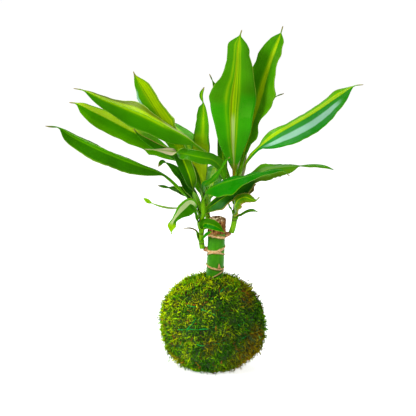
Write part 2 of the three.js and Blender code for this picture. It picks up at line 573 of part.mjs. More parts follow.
function leafSolid(leaf) {
  const rib = midrib(leaf);
  const length = rib.curve.getLength();
  const columns = blade.across + 1;
  const positions = [];
  const above = (i, j) => i * columns + j;
  const below = (i, j) => (leaf.rows + 1 + i) * columns + j;
  for (const layer of [1, -1]) {
    for (let i = 0; i <= leaf.rows; i++) {
      const s = (i / leaf.rows) ** 1.08;
      const { middle, side, face } = frameAt(leaf, rib, s);
      const half = halfWidth(leaf, s, length, rib.reach);
      const q = bladeShare(leaf, s);
      const open = smoothstep(s, 0, Math.max(leaf.begin * 1.4, 0.12));
      const fold = lerp(0, deg(leaf.fold), open);
      const petioleCurl = lerp(sheath.wrap, sheath.petioleCurl, smoothstep(s * length, 0, sheath.length));
      const curl = lerp(petioleCurl, deg(leaf.curl ?? 0) + 1e-3, open);
      for (let j = 0; j < columns; j++) {
        const t = (2 * j) / blade.across - 1;
        const edge = Math.abs(t);
        const sign = Math.sign(t);
        const slope = fold + curl * edge;
        const swing = (leaf.waves ?? 0) * 2 * Math.PI * q + sign * 1.7;
        let reach = half * (1 + 0.05 * Math.sin(swing * 1.3 + 0.8) * Math.sin(Math.PI * q));
        let lifted = (leaf.ripple ?? 0) * Math.sin(swing) * Math.sin(Math.PI * q);
        for (const [at, side, up, out, spread] of leaf.lobes ?? []) {
          const near = side === sign ? Math.exp(-(((s - at) / spread) ** 2)) : 0;
          reach += out * near;
          lifted += up * near;
        }
        const across = (reach * (Math.sin(slope) - Math.sin(fold))) / curl;
        const up = (reach * (Math.cos(fold) - Math.cos(slope))) / curl + lifted * edge ** 1.5;
        const lift = (layer * lerp(blade.rib, blade.edge, edge)) / 2;
        const p = middle.clone().addScaledVector(side, sign * (across - lift * Math.sin(slope)));
        p.addScaledVector(face, up + lift * Math.cos(slope));
        positions.push(p.x, p.y, p.z);
      }
    }
  }
  const index = [];
  const quad = (a, b, c, d) => index.push(a, b, c, a, c, d);
  for (let i = 0; i < leaf.rows; i++) {
    for (let j = 0; j < blade.across; j++) {
      quad(above(i, j), above(i + 1, j), above(i + 1, j + 1), above(i, j + 1));
      index.push(below(i, j), below(i + 1, j + 1), below(i + 1, j));
      index.push(below(i, j), below(i, j + 1), below(i + 1, j + 1));
    }
    quad(above(i, 0), below(i, 0), below(i + 1, 0), above(i + 1, 0));
    const last = blade.across;
    quad(above(i, last), above(i + 1, last), below(i + 1, last), below(i, last));
  }
  for (let j = 0; j < blade.across; j++) {
    quad(above(0, j), above(0, j + 1), below(0, j + 1), below(0, j));
    quad(above(leaf.rows, j + 1), above(leaf.rows, j), below(leaf.rows, j), below(leaf.rows, j + 1));
  }
  const geometry = new THREE.BufferGeometry();
  geometry.setAttribute('position', new THREE.Float32BufferAttribute(positions, 3));
  geometry.setIndex(index);
  return closedFacingOut(geometry);
}

// The plant, put together from the ball upwards
const kokedama = new THREE.Group();

function addPart(name, solid, finish) {
  const mesh = new THREE.Mesh(geometryOf(solid), finish);
  mesh.name = name;
  kokedama.add(mesh);
}

const nubs = [
  knob(vec(-6, 0, 165), vec(-11.4, -2.2, 162.6), 3.6),
  knob(vec(14, 0, 183), vec(23.5, -0.2, 184.6), 3.8),
  knob(vec(-1, 8, 196), vec(-4.4, 14.6, 196.6), 3.4),
  knob(vec(9, -9.8, 140), vec(8.8, -11, 147), 2.4),
];

addPart('moss', mossShell(), materials.moss);
addPart('soil', soilBall(), materials.soil);
addPart('binding_thread', bindingThread(), materials.thread);
const stems = Object.fromEntries(Object.entries(shoots).map(([name, shoot]) => [name, stemSolid(shoot)]));
addPart('cane', nubs.reduce((all, nub) => all.add(nub), caneTrunk()), materials.cane);
for (const [name, solid] of Object.entries(stems)) addPart(`stem_${name}`, solid, materials.stem);
for (const [name, leaf] of Object.entries(leaves)) addPart(`leaf_${name}`, leafSolid(leaf), materials.leaf);

export default kokedama;
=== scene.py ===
import json
import math
import bpy
import numpy as np
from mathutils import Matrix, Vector, noise

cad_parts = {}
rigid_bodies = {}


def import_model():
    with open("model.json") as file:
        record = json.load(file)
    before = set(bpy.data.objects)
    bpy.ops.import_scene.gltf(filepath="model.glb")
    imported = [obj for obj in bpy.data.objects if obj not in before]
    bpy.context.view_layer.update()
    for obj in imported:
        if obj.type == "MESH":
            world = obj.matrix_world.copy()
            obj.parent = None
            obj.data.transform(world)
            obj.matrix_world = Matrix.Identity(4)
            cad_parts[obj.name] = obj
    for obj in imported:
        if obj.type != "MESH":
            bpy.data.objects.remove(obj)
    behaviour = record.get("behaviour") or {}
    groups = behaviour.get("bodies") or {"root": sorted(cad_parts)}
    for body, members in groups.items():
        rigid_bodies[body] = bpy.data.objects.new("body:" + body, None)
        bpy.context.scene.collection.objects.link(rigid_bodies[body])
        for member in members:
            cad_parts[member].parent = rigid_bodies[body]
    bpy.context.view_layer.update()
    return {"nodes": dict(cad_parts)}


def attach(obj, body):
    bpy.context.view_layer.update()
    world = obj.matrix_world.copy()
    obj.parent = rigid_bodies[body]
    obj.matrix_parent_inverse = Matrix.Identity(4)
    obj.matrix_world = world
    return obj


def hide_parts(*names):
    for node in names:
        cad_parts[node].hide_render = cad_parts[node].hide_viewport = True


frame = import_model()


# Stage and view: a white table top and backdrop under soft daylight lamps, as for a shop picture.
# The camera stands 1.8 m before the plant and looks down on it by 10 degrees.
view_distance, view_drop, view_middle = 1.8, math.radians(10), (-0.006, 0.22)
film_width, width_seen = 36, 0.5545


def srgb(red, green, blue):
    """A colour as seen on a screen, from 0 to 255, turned into the light values that shaders use."""
    shares = [c / 255 for c in (red, green, blue)]
    return tuple(c / 12.92 if c <= 0.04045 else ((c + 0.055) / 1.055) ** 2.4 for c in shares)


def new_finish(name, colour, roughness, **sockets):
    """A material with its plain values set on the main shader itself."""
    finish = bpy.data.materials.new(name)
    finish.use_nodes = True
    shader = finish.node_tree.nodes["Principled BSDF"]
    shader.inputs["Base Color"].default_value = (*colour, 1)
    shader.inputs["Roughness"].default_value = roughness
    for socket, value in sockets.items():
        shader.inputs[socket.replace("_", " ")].default_value = value
    return finish


def lamp(name, place, turned, size, power, colour):
    bpy.ops.object.light_add(type="AREA", location=place, rotation=[math.radians(a) for a in turned])
    light = bpy.context.object
    light.name = name
    light.data.shape = "RECTANGLE"
    light.data.size, light.data.size_y = size
    light.data.energy = power
    light.data.color = colour


bpy.ops.mesh.primitive_plane_add(size=70, location=(0, 0, -0.0005))
table_top = bpy.context.object
table_top.name = "table_top"
table_top.data.materials.append(new_finish("white_table", (0.85, 0.85, 0.85), 0.7, Specular_IOR_Level=0.1,
                                           Emission_Strength=0.8, Emission_Color=(1, 1, 1, 1)))

lamp("window_left", (-1.3, -1.25, 1.1), (62, 0, -46), (0.5, 0.8), 31, (1, 0.99, 0.96))
lamp("sky_above", (0.15, 0.35, 1.5), (-12, 0, 0), (0.9, 0.6), 19, (0.92, 0.96, 1))
lamp("window_right", (1.5, -0.7, 0.7), (72, 0, 65), (0.3, 0.5), 5, (1, 0.99, 0.97))

daylight = bpy.data.worlds.new("daylight")
bpy.context.scene.world = daylight
daylight.use_nodes = True
daylight.node_tree.nodes["Background"].inputs["Color"].default_value = (1, 1, 1, 1)
daylight.node_tree.nodes["Background"].inputs["Strength"].default_value = 0.26
bpy.context.scene.view_settings.view_transform = "Standard"

bpy.ops.object.camera_add(location=(view_middle[0], -view_distance * math.cos(view_drop),
                                    view_middle[1] + view_distance * math.sin(view_drop)),
                          rotation=(math.pi / 2 - view_drop, 0, 0))
camera = bpy.context.object
camera.name = "camera"
camera.data.sensor_width = film_width
camera.data.lens = film_width * view_distance / width_seen
bpy.context.scene.camera = camera


# Soil: a ball of moist dark loam round the roots, pressed by hand. It lies out of sight in the moss.
# Its shape is the CAD solid's; it gets a crumbly finish.
def add_node(finish, kind, inputs=(), **settings):
    """Adds a node to a material. Inputs go by name or number, and are values or other nodes' outputs."""
    node = finish.node_tree.nodes.new("ShaderNode" + kind)
    for name, value in settings.items():
        setattr(node, name, value)
    for name, value in dict(inputs).items():
        if isinstance(value, bpy.types.NodeSocket):
            finish.node_tree.links.new(value, node.inputs[name])
        else:
            node.inputs[name].default_value = value
    return node


def link(finish, output, socket):
    """Leads a node's output to a socket of the main shader."""
    finish.node_tree.links.new(output, finish.node_tree.nodes["Principled BSDF"].inputs[socket])


def rows(text):
    """Rows of numbers and names, from a text with a comma after each row."""
    split_rows = (row.split() for row in text.split(", ") if row)
    return [[word if word.isalpha() else float(word) for word in row] for row in split_rows]


def shades(text):
    """The stops of a ramp, from rows of a place in per cent and a colour as seen on a screen."""
    return [(place / 100, srgb(*colour)) for place, *colour in rows(text)]


def ramp(finish, factor, stops):
    """A colour ramp over a factor. Stops are (place, colour)."""
    node = add_node(finish, "ValToRGB", {"Fac": factor})
    elements = node.color_ramp.elements
    while len(elements) < len(stops):
        elements.new(0.5)
    for element, (place, colour) in zip(elements, stops):
        element.position = place
        element.color = (*colour, 1)
    return node.outputs["Color"]


def grain(finish, scale, detail=4, vector=None, roughness=0.55):
    """The value of a noise pattern on the piece's own coordinates, or on a given vector."""
    place = vector or add_node(finish, "TexCoord").outputs["Object"]
    inputs = {"Vector": place, "Scale": scale, "Detail": detail, "Roughness": roughness}
    return add_node(finish, "TexNoise", inputs).outputs["Fac"]


def raised(finish, height, distance, strength=1.0):
    bump = add_node(finish, "Bump", {"Height": height, "Distance": distance, "Strength": strength})
    link(finish, bump.outputs["Normal"], "Normal")


loam = new_finish("moist_loam", srgb(60, 42, 28), 0.95)
crumbs = grain(loam, 260, 6)
link(loam, ramp(loam, crumbs, shades("30 32 22 15, 70 84 62 42")), "Base Color")
raised(loam, crumbs, 0.002)
soil = frame["nodes"]["soil"]
soil.data.materials.clear()
soil.data.materials.append(loam)


# Moss mat: sheets of living moss, folded round the soil with their brown felt inwards.
# It is a shell with a flat spot under it where it rests, and a hole where the cane comes out.
ball_middle, ball_radius = np.array((0, 0, 65.5)), 68
mat_thickness, hole_radius, cane_x = 5.5, 12.8, 3.2
bulges = [((0.1, 0, 1), -5.5, 0.12), ((-0.6, 0, 0.8), -3.4, 0.05), ((0.7, 0, 0.7), -2.4, 0.08),
          ((-0.9, 0, 0.4), 2.6, 0.05), ((-0.68, -0.1, -0.7), 5.0, 0.16), ((0.92, 0.05, -0.36), 4.4, 0.08),
          ((0.6, 0, -0.8), 3.0, 0.15), ((0.1, 0.9, -0.3), 2.6, 0.3)]


def moss_radius(d):
    """How far the moss reaches from the ball's middle, in millimetres, along unit directions d."""
    uneven = np.sin(4.1 * d[:, 0] + 1.3) * np.sin(3.7 * d[:, 1] + 0.4) * np.sin(4.3 * d[:, 2] + 2.1)
    reach = ball_radius + 0.8 * uneven
    for at, height, spread in bulges:
        at = np.array(at) / np.linalg.norm(at)
        reach = reach + height * np.exp((d @ at - 1) / spread)
    return reach


def clumps(d, size, seed):
    """Smooth random values about 0 over directions d: high where a clump of moss stands out."""
    return np.array([noise.noise(Vector(v) * size + Vector((seed, 0, 0))) for v in d])


def worked(finish, operation, *values):
    """A sum in a material, on plain values or the outputs of other nodes."""
    return add_node(finish, "Math", dict(enumerate(values)), operation=operation).outputs["Value"]


def points_of(piece):
    points = np.empty(len(piece.data.vertices) * 3)
    piece.data.vertices.foreach_get("co", points)
    return points.reshape(-1, 3)


def set_points(piece, millimetres):
    piece.data.vertices.foreach_set("co", (np.asarray(millimetres) * 0.001).ravel())
    piece.data.update()


def smoothed(piece):
    for face in piece.data.polygons:
        face.use_smooth = True
    return piece


def kept(piece, name, slot, *replaced):
    """Names a finished piece and fixes it to the plant, in place of its CAD solids."""
    piece.name = name
    piece.data.name = name
    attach(piece, "root")
    if replaced:
        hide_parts(*replaced)
    return piece


def apply_modifier(piece, kind, **settings):
    bpy.context.view_layer.objects.active = piece
    modifier = piece.modifiers.new(kind.lower(), kind)
    for name, value in settings.items():
        setattr(modifier, name, value)
    bpy.ops.object.modifier_apply(modifier=modifier.name)


bpy.ops.mesh.primitive_ico_sphere_add(subdivisions=6, radius=1)
mat = bpy.context.object
d = points_of(mat)
d /= np.linalg.norm(d, axis=1)[:, None]
lumpy = moss_radius(d) - 1.2 + 1.6 * clumps(d, 6, 3) + 1.3 * clumps(d, 15, 8)
felt = ball_middle + d * lumpy[:, None]
felt[:, 2] = np.maximum(felt[:, 2], 0)
set_points(mat, felt)
bpy.ops.object.mode_set(mode="EDIT")
bpy.ops.mesh.select_all(action="DESELECT")
bpy.ops.object.mode_set(mode="OBJECT")
for face in mat.data.polygons:
    x, y, z = face.center * 1000
    face.select = z > 100 and math.hypot(x - cane_x, y) < hole_radius
bpy.ops.object.mode_set(mode="EDIT")
bpy.ops.mesh.delete(type="FACE")
bpy.ops.object.mode_set(mode="OBJECT")
apply_modifier(mat, "SOLIDIFY", thickness=mat_thickness / 1000, offset=-1)
smoothed(mat)

moss_felt = new_finish("moss_felt", srgb(30, 44, 8), 1.0)
fine, broad = grain(moss_felt, 420, 5), grain(moss_felt, 45, 3)
patch = worked(moss_felt, "MULTIPLY_ADD", fine, broad, 0.1)
# The felt is coloured very dark, its own green-brown deepened as painted shade, so the gaps between sprigs
# look dark.
felt_and_gap_shade_colours = shades("22 14 26 0, 34 30 58 2, 44 52 84 6, 56 74 60 16")
link(moss_felt, ramp(moss_felt, patch, felt_and_gap_shade_colours), "Base Color")
raised(moss_felt, fine, 0.0015)
mat.data.materials.append(moss_felt)
kept(mat, "moss_mat", "moss", "moss")


# Moss sprigs: leafy shoots a few millimetres long, which stand from the mat in all directions and
# overlap. They are brown at the lower right and yellow-green at the upper left, partly fresh and partly
# painted light; painted shade darkens the right side and each sprig's foot, and painted light its tip.
sprig_count, sprig_shares = 13800, (0.34, 0.3, 0.26, 0.1)
shortest, usual, longest = 3.8, 5.8, 10
moss_shoulder, cane_room, spot_room, thread_room = 100, 13, 6, 2.2
fresh, green, deep, olive, brown, rust = (np.array(srgb(*colour)) for colour in (
    (226, 244, 14), (120, 196, 6), (52, 124, 6), (180, 156, 16), (140, 88, 26), (204, 116, 40)))
thread_tilts = ((8.9, 134), (30.4, 45), (14, -106), (59.5, 150))
thread_spots = [(-25, -55, 99), (-10, -61, 95.5), (-42.8, -54, 67), (-29.5, -62, 69), (-12.5, -67.6, 71.8),
                (-15, -65, 49), (12.4, -42, 118.8)]
straggly_ways = [(0.925, -0.05, -0.376), (0.86, -0.05, -0.508), (0.72, -0.05, 0.692)]
# Directions of the painted light and the painted shade on the moss.
sunny_way, shady_way = np.array((-0.7, -0.3, 0.5)), np.array((0.75, -0.2, 0.45))


def sprig(pairs, leaflet, lean, turn, bend):
    """One sprig, 1 long and growing up: a bent stalk with pointed leaflets in pairs.
    Gives its points and triangles."""
    for i in range(pairs):
        for side in (0, math.pi):
            about = math.radians(turn) * i + side
            height, length = 0.1 + 0.82 * i / pairs, leaflet * (1 - 0.45 * i / pairs)
            way = Vector((math.sin(lean) * math.cos(about), math.sin(lean) * math.sin(about),
                          math.cos(lean)))
            bpy.ops.mesh.primitive_cone_add(vertices=3, radius1=0.06, depth=length,
                                            rotation=(0, lean, about),
                                            location=Vector((0, 0, height)) + way * length / 2)
    bpy.ops.mesh.primitive_cone_add(vertices=3, radius1=0.07, depth=1, location=(0, 0, 0.5))
    bpy.ops.object.mode_set(mode="EDIT")
    for height in (0.35, 0.7):
        bpy.ops.mesh.select_all(action="SELECT")
        bpy.ops.mesh.bisect(plane_co=(0, 0, height), plane_no=(0, 0, 1))
    bpy.ops.object.mode_set(mode="OBJECT")
    for piece in bpy.context.scene.objects:
        if piece.name.startswith("Cone"):
            piece.select_set(True)
    bpy.ops.object.join()
    joined = bpy.context.object
    bpy.ops.object.transform_apply(location=True, rotation=True, scale=True)
    points = points_of(joined)
    points[:, 0] += bend * points[:, 2] ** 2
    points[:, 1] += 0.16 * np.sin(points[:, 2] * 4)
    points[:, 2] -= 0.35 * abs(bend) * points[:, 2] ** 2
    joined.data.calc_loop_triangles()
    triangles = np.array([t.vertices[:] for t in joined.data.loop_triangles])
    bpy.data.objects.remove(joined)
    return points, triangles


def unit(vectors):
    return vectors / np.linalg.norm(vectors, axis=-1)[..., None]


sprig_kinds = [sprig(5, 0.25, 0.6, 65, 0.7), sprig(5, 0.22, 0.55, 20, 1.05), sprig(4, 0.28, 0.7, 90, -0.85),
               sprig(3, 0.2, 0.5, 40, 1.4)]
rng = np.random.default_rng(7)

number = np.arange(sprig_count) + 0.5
level = np.clip(1 - 2 * number / sprig_count + rng.normal(0, 0.006, sprig_count), -1, 1)
round_about = number * math.pi * (3 - math.sqrt(5)) + rng.normal(0, 0.02, sprig_count)
flat_share = np.sqrt(1 - level ** 2)
d = np.column_stack((flat_share * np.cos(round_about), flat_share * np.sin(round_about), level))
root = ball_middle + d * (moss_radius(d) - 1.6 + 2.2 * clumps(d, 6, 3))[:, None]
beside_cane = np.hypot(root[:, 0] - cane_x, root[:, 1])
clear = ((root[:, 2] < moss_shoulder) | (beside_cane > cane_room)) & (root[:, 2] > 0.4)
thread_turns = [np.array((math.sin(a) * math.cos(b), math.sin(a) * math.sin(b), math.cos(a)))
                for a, b in np.radians(thread_tilts)]
to_spot = np.min([np.linalg.norm(root - spot, axis=1) for spot in thread_spots], axis=0)
to_thread = np.min([np.abs(d @ turn) for turn in thread_turns], axis=0) * ball_radius
clear &= (to_spot >= spot_room) | (to_thread >= thread_room)
d, root, beside_cane = d[clear], root[clear], beside_cane[clear]
count = len(d)

any_way = rng.normal(size=(count, 3))
along = any_way - d * np.sum(any_way * d, axis=1)[:, None]
from_cane = np.column_stack((root[:, 0] - cane_x, root[:, 1], np.zeros(count))) / beside_cane[:, None]
by_cane = (root[:, 2] > moss_shoulder) & (beside_cane < 20)
along = np.where(by_cane[:, None], along * 0.3 + from_cane * 2, along)
along[:, 2] -= 0.35
along = unit(along - d * np.sum(along * d, axis=1)[:, None])
straggly = np.max([np.exp((d @ np.array(way) - 1) / 0.005) for way in straggly_ways], axis=0)
lift = rng.triangular(2, 14, 56, count) + np.where(rng.random(count) < 0.1, 24, 0) + 24 * straggly
lift = np.radians(lift)[:, None]
grows = along * np.cos(lift) + d * np.sin(lift)
bends = unit(np.cross(grows, rng.normal(size=(count, 3))))
third = np.cross(grows, bends)
length = rng.triangular(shortest, usual, longest, count)
length *= 1 + 1.1 * straggly * (rng.random(count) < 0.4)

warmth = clumps(d, 2.2, 21) * 1.6 + d @ np.array((0.55, -0.05, -0.45))
# Freshness is partly random clumps and partly painted light, rising towards the upper left.
freshness_and_painted_light = clumps(d, 5, 40) * 1.2 + d @ np.array((-0.4, 0, 0.45)) + rng.normal(0, 0.28, count)
tint = deep + (green - deep) * np.clip(freshness_and_painted_light * 0.9 + 0.55, 0, 1)[:, None]
tint += (fresh - tint) * np.clip(freshness_and_painted_light * 1.1 - 0.2, 0, 0.65)[:, None]
tint += (olive - tint) * np.clip(warmth * 0.9 - 0.04, 0, 0.85)[:, None]
dry = rng.random(count)
tint = np.where((dry < 0.035 + 0.1 * np.clip(warmth, 0, 1))[:, None], brown, tint)
tint = np.where((dry > 0.988)[:, None], rust, tint)
tint *= rng.uniform(0.45, 1.8, count)[:, None]
# Painted light and shade: sprigs facing the upper left are made lighter and those facing the right darker.
tint *= 1 + np.outer(np.clip(d @ sunny_way, 0, 1), (0.65, 0.45, 0.2))
tint *= 1 - 0.3 * np.clip(d @ shady_way, 0, 1)[:, None]

kind_of = rng.choice(len(sprig_kinds), count, p=sprig_shares)
quarter_of = ((np.arctan2(d[:, 1], d[:, 0]) + math.pi * 2.25) // (math.pi / 2)).astype(int) % 4

moss_green = new_finish("moss_sprigs", srgb(84, 128, 22), 0.85, Specular_IOR_Level=0.03)
painted_tint = add_node(moss_green, "Attribute", attribute_name="tint")
link(moss_green, painted_tint.outputs["Color"], "Base Color")

for quarter, quarter_name in enumerate(("right", "back", "left", "front")):
    points, triangles, colours, first = [], [], [], 0
    for k, (shape, corners) in enumerate(sprig_kinds):
        chosen = np.flatnonzero((quarter_of == quarter) & (kind_of == k))
        size = length[chosen, None, None] * (1.25 if k == 3 else 1)
        axes = np.stack((bends[chosen], third[chosen], grows[chosen]), axis=1)
        placed = root[chosen, None, :] + size * np.einsum("vi,nij->nvj", shape, axes)
        # Painted shade and light: each sprig is dark at its foot, deep in the moss, and bright at its tip.
        shade = 0.12 + 1.35 * np.clip(shape[:, 2], 0, 1) ** 1.4
        points.append(placed.reshape(-1, 3))
        colours.append((tint[chosen, None, :] * shade[None, :, None]).reshape(-1, 3))
        steps = first + np.arange(len(chosen)) * len(shape)
        triangles.append((corners[None] + steps[:, None, None]).reshape(-1, 3))
        first += len(chosen) * len(shape)
    points, triangles, colours = np.concatenate(points), np.concatenate(triangles), np.concatenate(colours)
    points[:, 2] = np.maximum(points[:, 2], 0.2)
    mesh = bpy.data.meshes.new("sprigs")
    mesh.from_pydata(points * 0.001, [], triangles)
    tints = mesh.color_attributes.new(name="tint", type="FLOAT_COLOR", domain="POINT")
    tints.data.foreach_set("color", np.column_stack((colours, np.ones(len(colours)))).ravel())
    mesh.materials.append(moss_green)
    sprigs = bpy.data.objects.new("sprigs", mesh)
    bpy.context.scene.collection.objects.link(sprigs)
    kept(sprigs, "moss_sprigs_" + quarter_name, "moss")


# Binding thread: thin emerald cotton, wound round the ball in four turns to hold the moss sheets.
# Most of it has sunk between the sprigs, and it shows in a few places at the front.
thread_half, thread_depth, spot_rise, spot_half = 0.42, 1.9, 2.9, 5


def bell(away, breadth):
    """1 at a place and falling off evenly on both sides of it."""
    return np.exp(-(away / breadth) ** 2)


def wound(turn):
    """One closed turn of thread round the ball, in the plane across turn."""
    bpy.ops.mesh.primitive_torus_add(major_segments=220, minor_segments=7, major_radius=1,
                                     minor_radius=0.01)
    piece = bpy.context.object
    ring = points_of(piece)
    angle = np.arctan2(ring[:, 1], ring[:, 0])
    out, beside = (np.hypot(ring[:, 0], ring[:, 1]) - 1) / 0.01, ring[:, 2] / 0.01
    across = unit(np.cross((0, 0, 1), turn))
    ahead = np.cross(turn, across)
    d = np.cos(angle)[:, None] * across + np.sin(angle)[:, None] * ahead
    sway = 0.7 * np.sin(angle * 9 + turn[0] * 7) + 0.5 * np.sin(angle * 23)
    middle = ball_middle + d * (moss_radius(d) - thread_depth)[:, None] + sway[:, None] * turn
    spots = np.min([np.linalg.norm(middle - spot, axis=1) for spot in thread_spots], axis=0)
    middle += d * (spot_rise * bell(spots, spot_half))[:, None]
    set_points(piece, middle + thread_half * (out[:, None] * d + beside[:, None] * turn))
    return smoothed(piece)


turns_of_thread = [wound(turn) for turn in thread_turns]
bpy.ops.object.select_all(action="DESELECT")
for piece in turns_of_thread:
    piece.select_set(True)
bpy.ops.object.join()
thread = bpy.context.object
emerald = new_finish("emerald_cotton", srgb(10, 140, 62), 0.6, Specular_IOR_Level=0.2)
flat = add_node(emerald, "TexCoord").outputs["UV"]
twist = add_node(emerald, "Mapping", {"Vector": flat, "Rotation": (0, 0, 0.2), "Scale": (420, 2, 1)})
strands = add_node(emerald, "TexWave", {"Vector": twist.outputs["Vector"], "Scale": 1.0, "Distortion": 1.5})
strands = strands.outputs["Fac"]
link(emerald, ramp(emerald, strands, shades("0 0 160 50, 100 10 236 100")), "Base Color")
raised(emerald, strands, 0.0002)
thread.data.materials.append(emerald)
kept(thread, "thread_turns", "thread", "binding_thread")


# Cane: a cut length of green trunk, rooted in the soil. Leaf scars ring it, some with tan papery
# remains of the leaf bases. The top 20 mm has dried to brown bark round a rough sawn face.
cane_radius, cane_foot, cane_top = 12, 42, 205
cane_lean, upright_at = 0.04, 133
bark_start, cut_rise, cut_slant = 184.5, 2.6, 0.217
scars = [(128.9, 6.4, -4, 0.6, 0.9), (141.4, 3.1, 140, 1.0, 1.5), (156.6, 4.6, -90, 0.5, 0.9),
         (166.1, 3.7, 56, 1.1, 1.8), (182.2, 2.4, -152, 1.1, 1.7), (194, 1.0, 60, 0.6, 0.8)]


def shaped_grid(across, along, place):
    """A flat grid bent to a form: place gives millimetres for its shares across and along."""
    bpy.ops.mesh.primitive_grid_add(x_subdivisions=across, y_subdivisions=along, size=1)
    piece = bpy.context.object
    flat = points_of(piece) + 0.5
    set_points(piece, place(flat[:, 0], flat[:, 1]))
    return smoothed(piece)


def close_up(piece):
    """Joins a rolled grid along its seam and at its poles, and turns its faces outwards."""
    bpy.ops.object.mode_set(mode="EDIT")
    bpy.ops.mesh.select_all(action="SELECT")
    bpy.ops.mesh.remove_doubles(threshold=1e-6)
    bpy.ops.mesh.normals_make_consistent(inside=False)
    bpy.ops.object.mode_set(mode="OBJECT")


def note(piece, name, values):
    """Keeps one number for each point of the piece, which its material reads by name."""
    piece.data.attributes.new(name, "FLOAT", "POINT").data.foreach_set("value", np.asarray(values, float))


def smooth(x, low, high):
    share = np.clip((x - low) / (high - low), 0, 1)
    return share * share * (3 - 2 * share)


def ripple(x, y, seed):
    """A steady uneven wave about 0 for two numbers a point."""
    return np.array([noise.noise(Vector((a, b, seed))) for a, b in zip(x, y)])


def cane_middle(z):
    return cane_x + cane_lean * (z - upright_at)


def above_scar(z, angle, scar):
    """How far above a scar's slanted line each place on the cane lies. A scar is its height, slant,
    heading, how far it stands out and half its breadth."""
    height, slant, heading = scar[:3]
    uneven = 0.5 * ripple(angle * 3, z * 0, height)
    return z - (height + slant * np.cos(angle - math.radians(heading)) + uneven)


def cane_place(u, v):
    angle = u * 2 * math.pi
    z = np.interp(v, [0, 0.01, 0.06, 0.9, 0.92, 0.96, 1],
                  [cane_foot, cane_foot, 124, cane_top - 0.4, cane_top + 0.2, cane_top - 1, cane_top - 1.4])
    share = np.interp(v, [0, 0.01, 0.9, 0.92, 0.96, 1], [0, 1, 1, 0.92, 0.7, 0])
    way = np.column_stack((np.cos(angle), np.sin(angle)))
    radius = np.full(len(u), cane_radius - 0.25) + 0.25 * np.sin(3 * angle + z * 0.05)
    for scar in scars:
        above, (proud, half) = above_scar(z, angle, scar), scar[3:]
        radius += proud * np.exp(-(above / half) ** 2 / 0.9) - 0.35 * bell(above + 2.2, 1.2)
    bark = smooth(z + 1.5 * ripple(angle * 2, z * 0.2, 5), bark_start, bark_start + 3)
    radius += bark * (0.35 + 0.7 * ripple(angle * 9, z * 0.09, 2) + 0.4 * ripple(angle * 20, z * 0.5, 9))
    radius = np.where(z < 126, 12.2, radius)
    z = z + cut_rise * np.sin(angle) * share * smooth(z, 196, 203)
    z = z + np.where(v > 0.9, 1.1 * ripple(way[:, 0] * 3, way[:, 1] * 3, 4) * smooth(share, 0.1, 0.9), 0)
    z = z + np.where(v > 0.93, 0.8 * ripple(way[:, 0] * share * 9, way[:, 1] * share * 9, 6), 0)
    return np.column_stack((way * (radius * share)[:, None], z)) + np.outer(cane_middle(z), (1, 0, 0))


cane = shaped_grid(80, 190, cane_place)
close_up(cane)
x, y, z = points_of(cane).T * 1000
angle, beside = np.arctan2(y, x - cane_middle(z)), np.hypot(x - cane_middle(z), y)
papery, shadow = np.zeros(len(z)), np.zeros(len(z))
for scar in scars:
    above, half = above_scar(z, angle, scar), scar[4]
    width = half * (1 + 0.6 * ripple(angle * 2.2, angle * 0, scar[0] + 9))
    papery = np.maximum(papery, np.exp(-(above / width) ** 4))
    shadow = np.maximum(shadow, bell(above + half * 1.4, 0.9))
note(cane, "papery", papery)
note(cane, "shadow", shadow)
note(cane, "bark", smooth(z + 2.2 * ripple(angle * 4, z * 0.3, 5), bark_start, bark_start + 2.5))
note(cane, "cut", smooth(11.2 - beside, 0, 0.8) * smooth(z - cut_slant * y, 202, 203.2))


def ranged(finish, value, low, high, first=0, last=1, **settings):
    """Turns a value between low and high into one between first and last."""
    inputs = {"Value": value, "From Min": low, "From Max": high, "To Min": first, "To Max": last}
    return add_node(finish, "MapRange", inputs, **settings).outputs["Result"]


def painted(finish, under, over, amount):
    """One colour laid over another, by an amount from 0 to 1."""
    mix = add_node(finish, "Mix", data_type="RGBA")
    for socket, value in ((0, amount), (6, under), (7, over)):
        if isinstance(value, bpy.types.NodeSocket):
            finish.node_tree.links.new(value, mix.inputs[socket])
        else:
            mix.inputs[socket].default_value = value if socket == 0 else (*value, 1)
    return mix.outputs[2]


def noted(finish, name):
    return add_node(finish, "Attribute", attribute_name=name).outputs["Fac"]


def drawn_out(finish, scale, detail):
    """A noise pattern with its own scale along each axis, for streaks and layers."""
    place = add_node(finish, "TexCoord").outputs["Object"]
    place = add_node(finish, "Mapping", {"Vector": place, "Scale": scale}).outputs["Vector"]
    return grain(finish, 1, detail, place)


green_glint = (0.8, 1, 0.5, 1)
cane_skin = new_finish("green_cane", srgb(64, 146, 6), 0.22, Specular_IOR_Level=0.16,
                       Specular_Tint=green_glint)
streaks = drawn_out(cane_skin, (420, 420, 22), 5)
clouds = grain(cane_skin, 55, 3)
skin = ramp(cane_skin, clouds, shades("30 34 104 0, 50 52 130 0, 72 82 150 4"))
skin = painted(cane_skin, skin, srgb(34, 96, 6), ranged(cane_skin, streaks, 0.5, 0.8, 0, 0.3))
shaded = worked(cane_skin, "MULTIPLY", noted(cane_skin, "shadow"), 0.75)
skin = painted(cane_skin, skin, srgb(58, 52, 14), shaded)
for part, pattern, colours in (
        ("papery", drawn_out(cane_skin, (300, 300, 1500), 5),
         "30 134 84 44, 50 206 160 108, 72 240 216 176"),
        ("bark", drawn_out(cane_skin, (500, 500, 130), 6), "34 58 32 14, 50 126 78 38, 66 186 132 80"),
        ("cut", grain(cane_skin, 300, 6), "38 64 38 20, 50 150 108 70, 62 232 206 168")):
    skin = painted(cane_skin, skin, ramp(cane_skin, pattern, shades(colours)), noted(cane_skin, part))
link(cane_skin, skin, "Base Color")
dull = worked(cane_skin, "MAXIMUM", noted(cane_skin, "papery"), noted(cane_skin, "bark"))
link(cane_skin, ranged(cane_skin, dull, 0, 1, 0.28, 0.9), "Roughness")
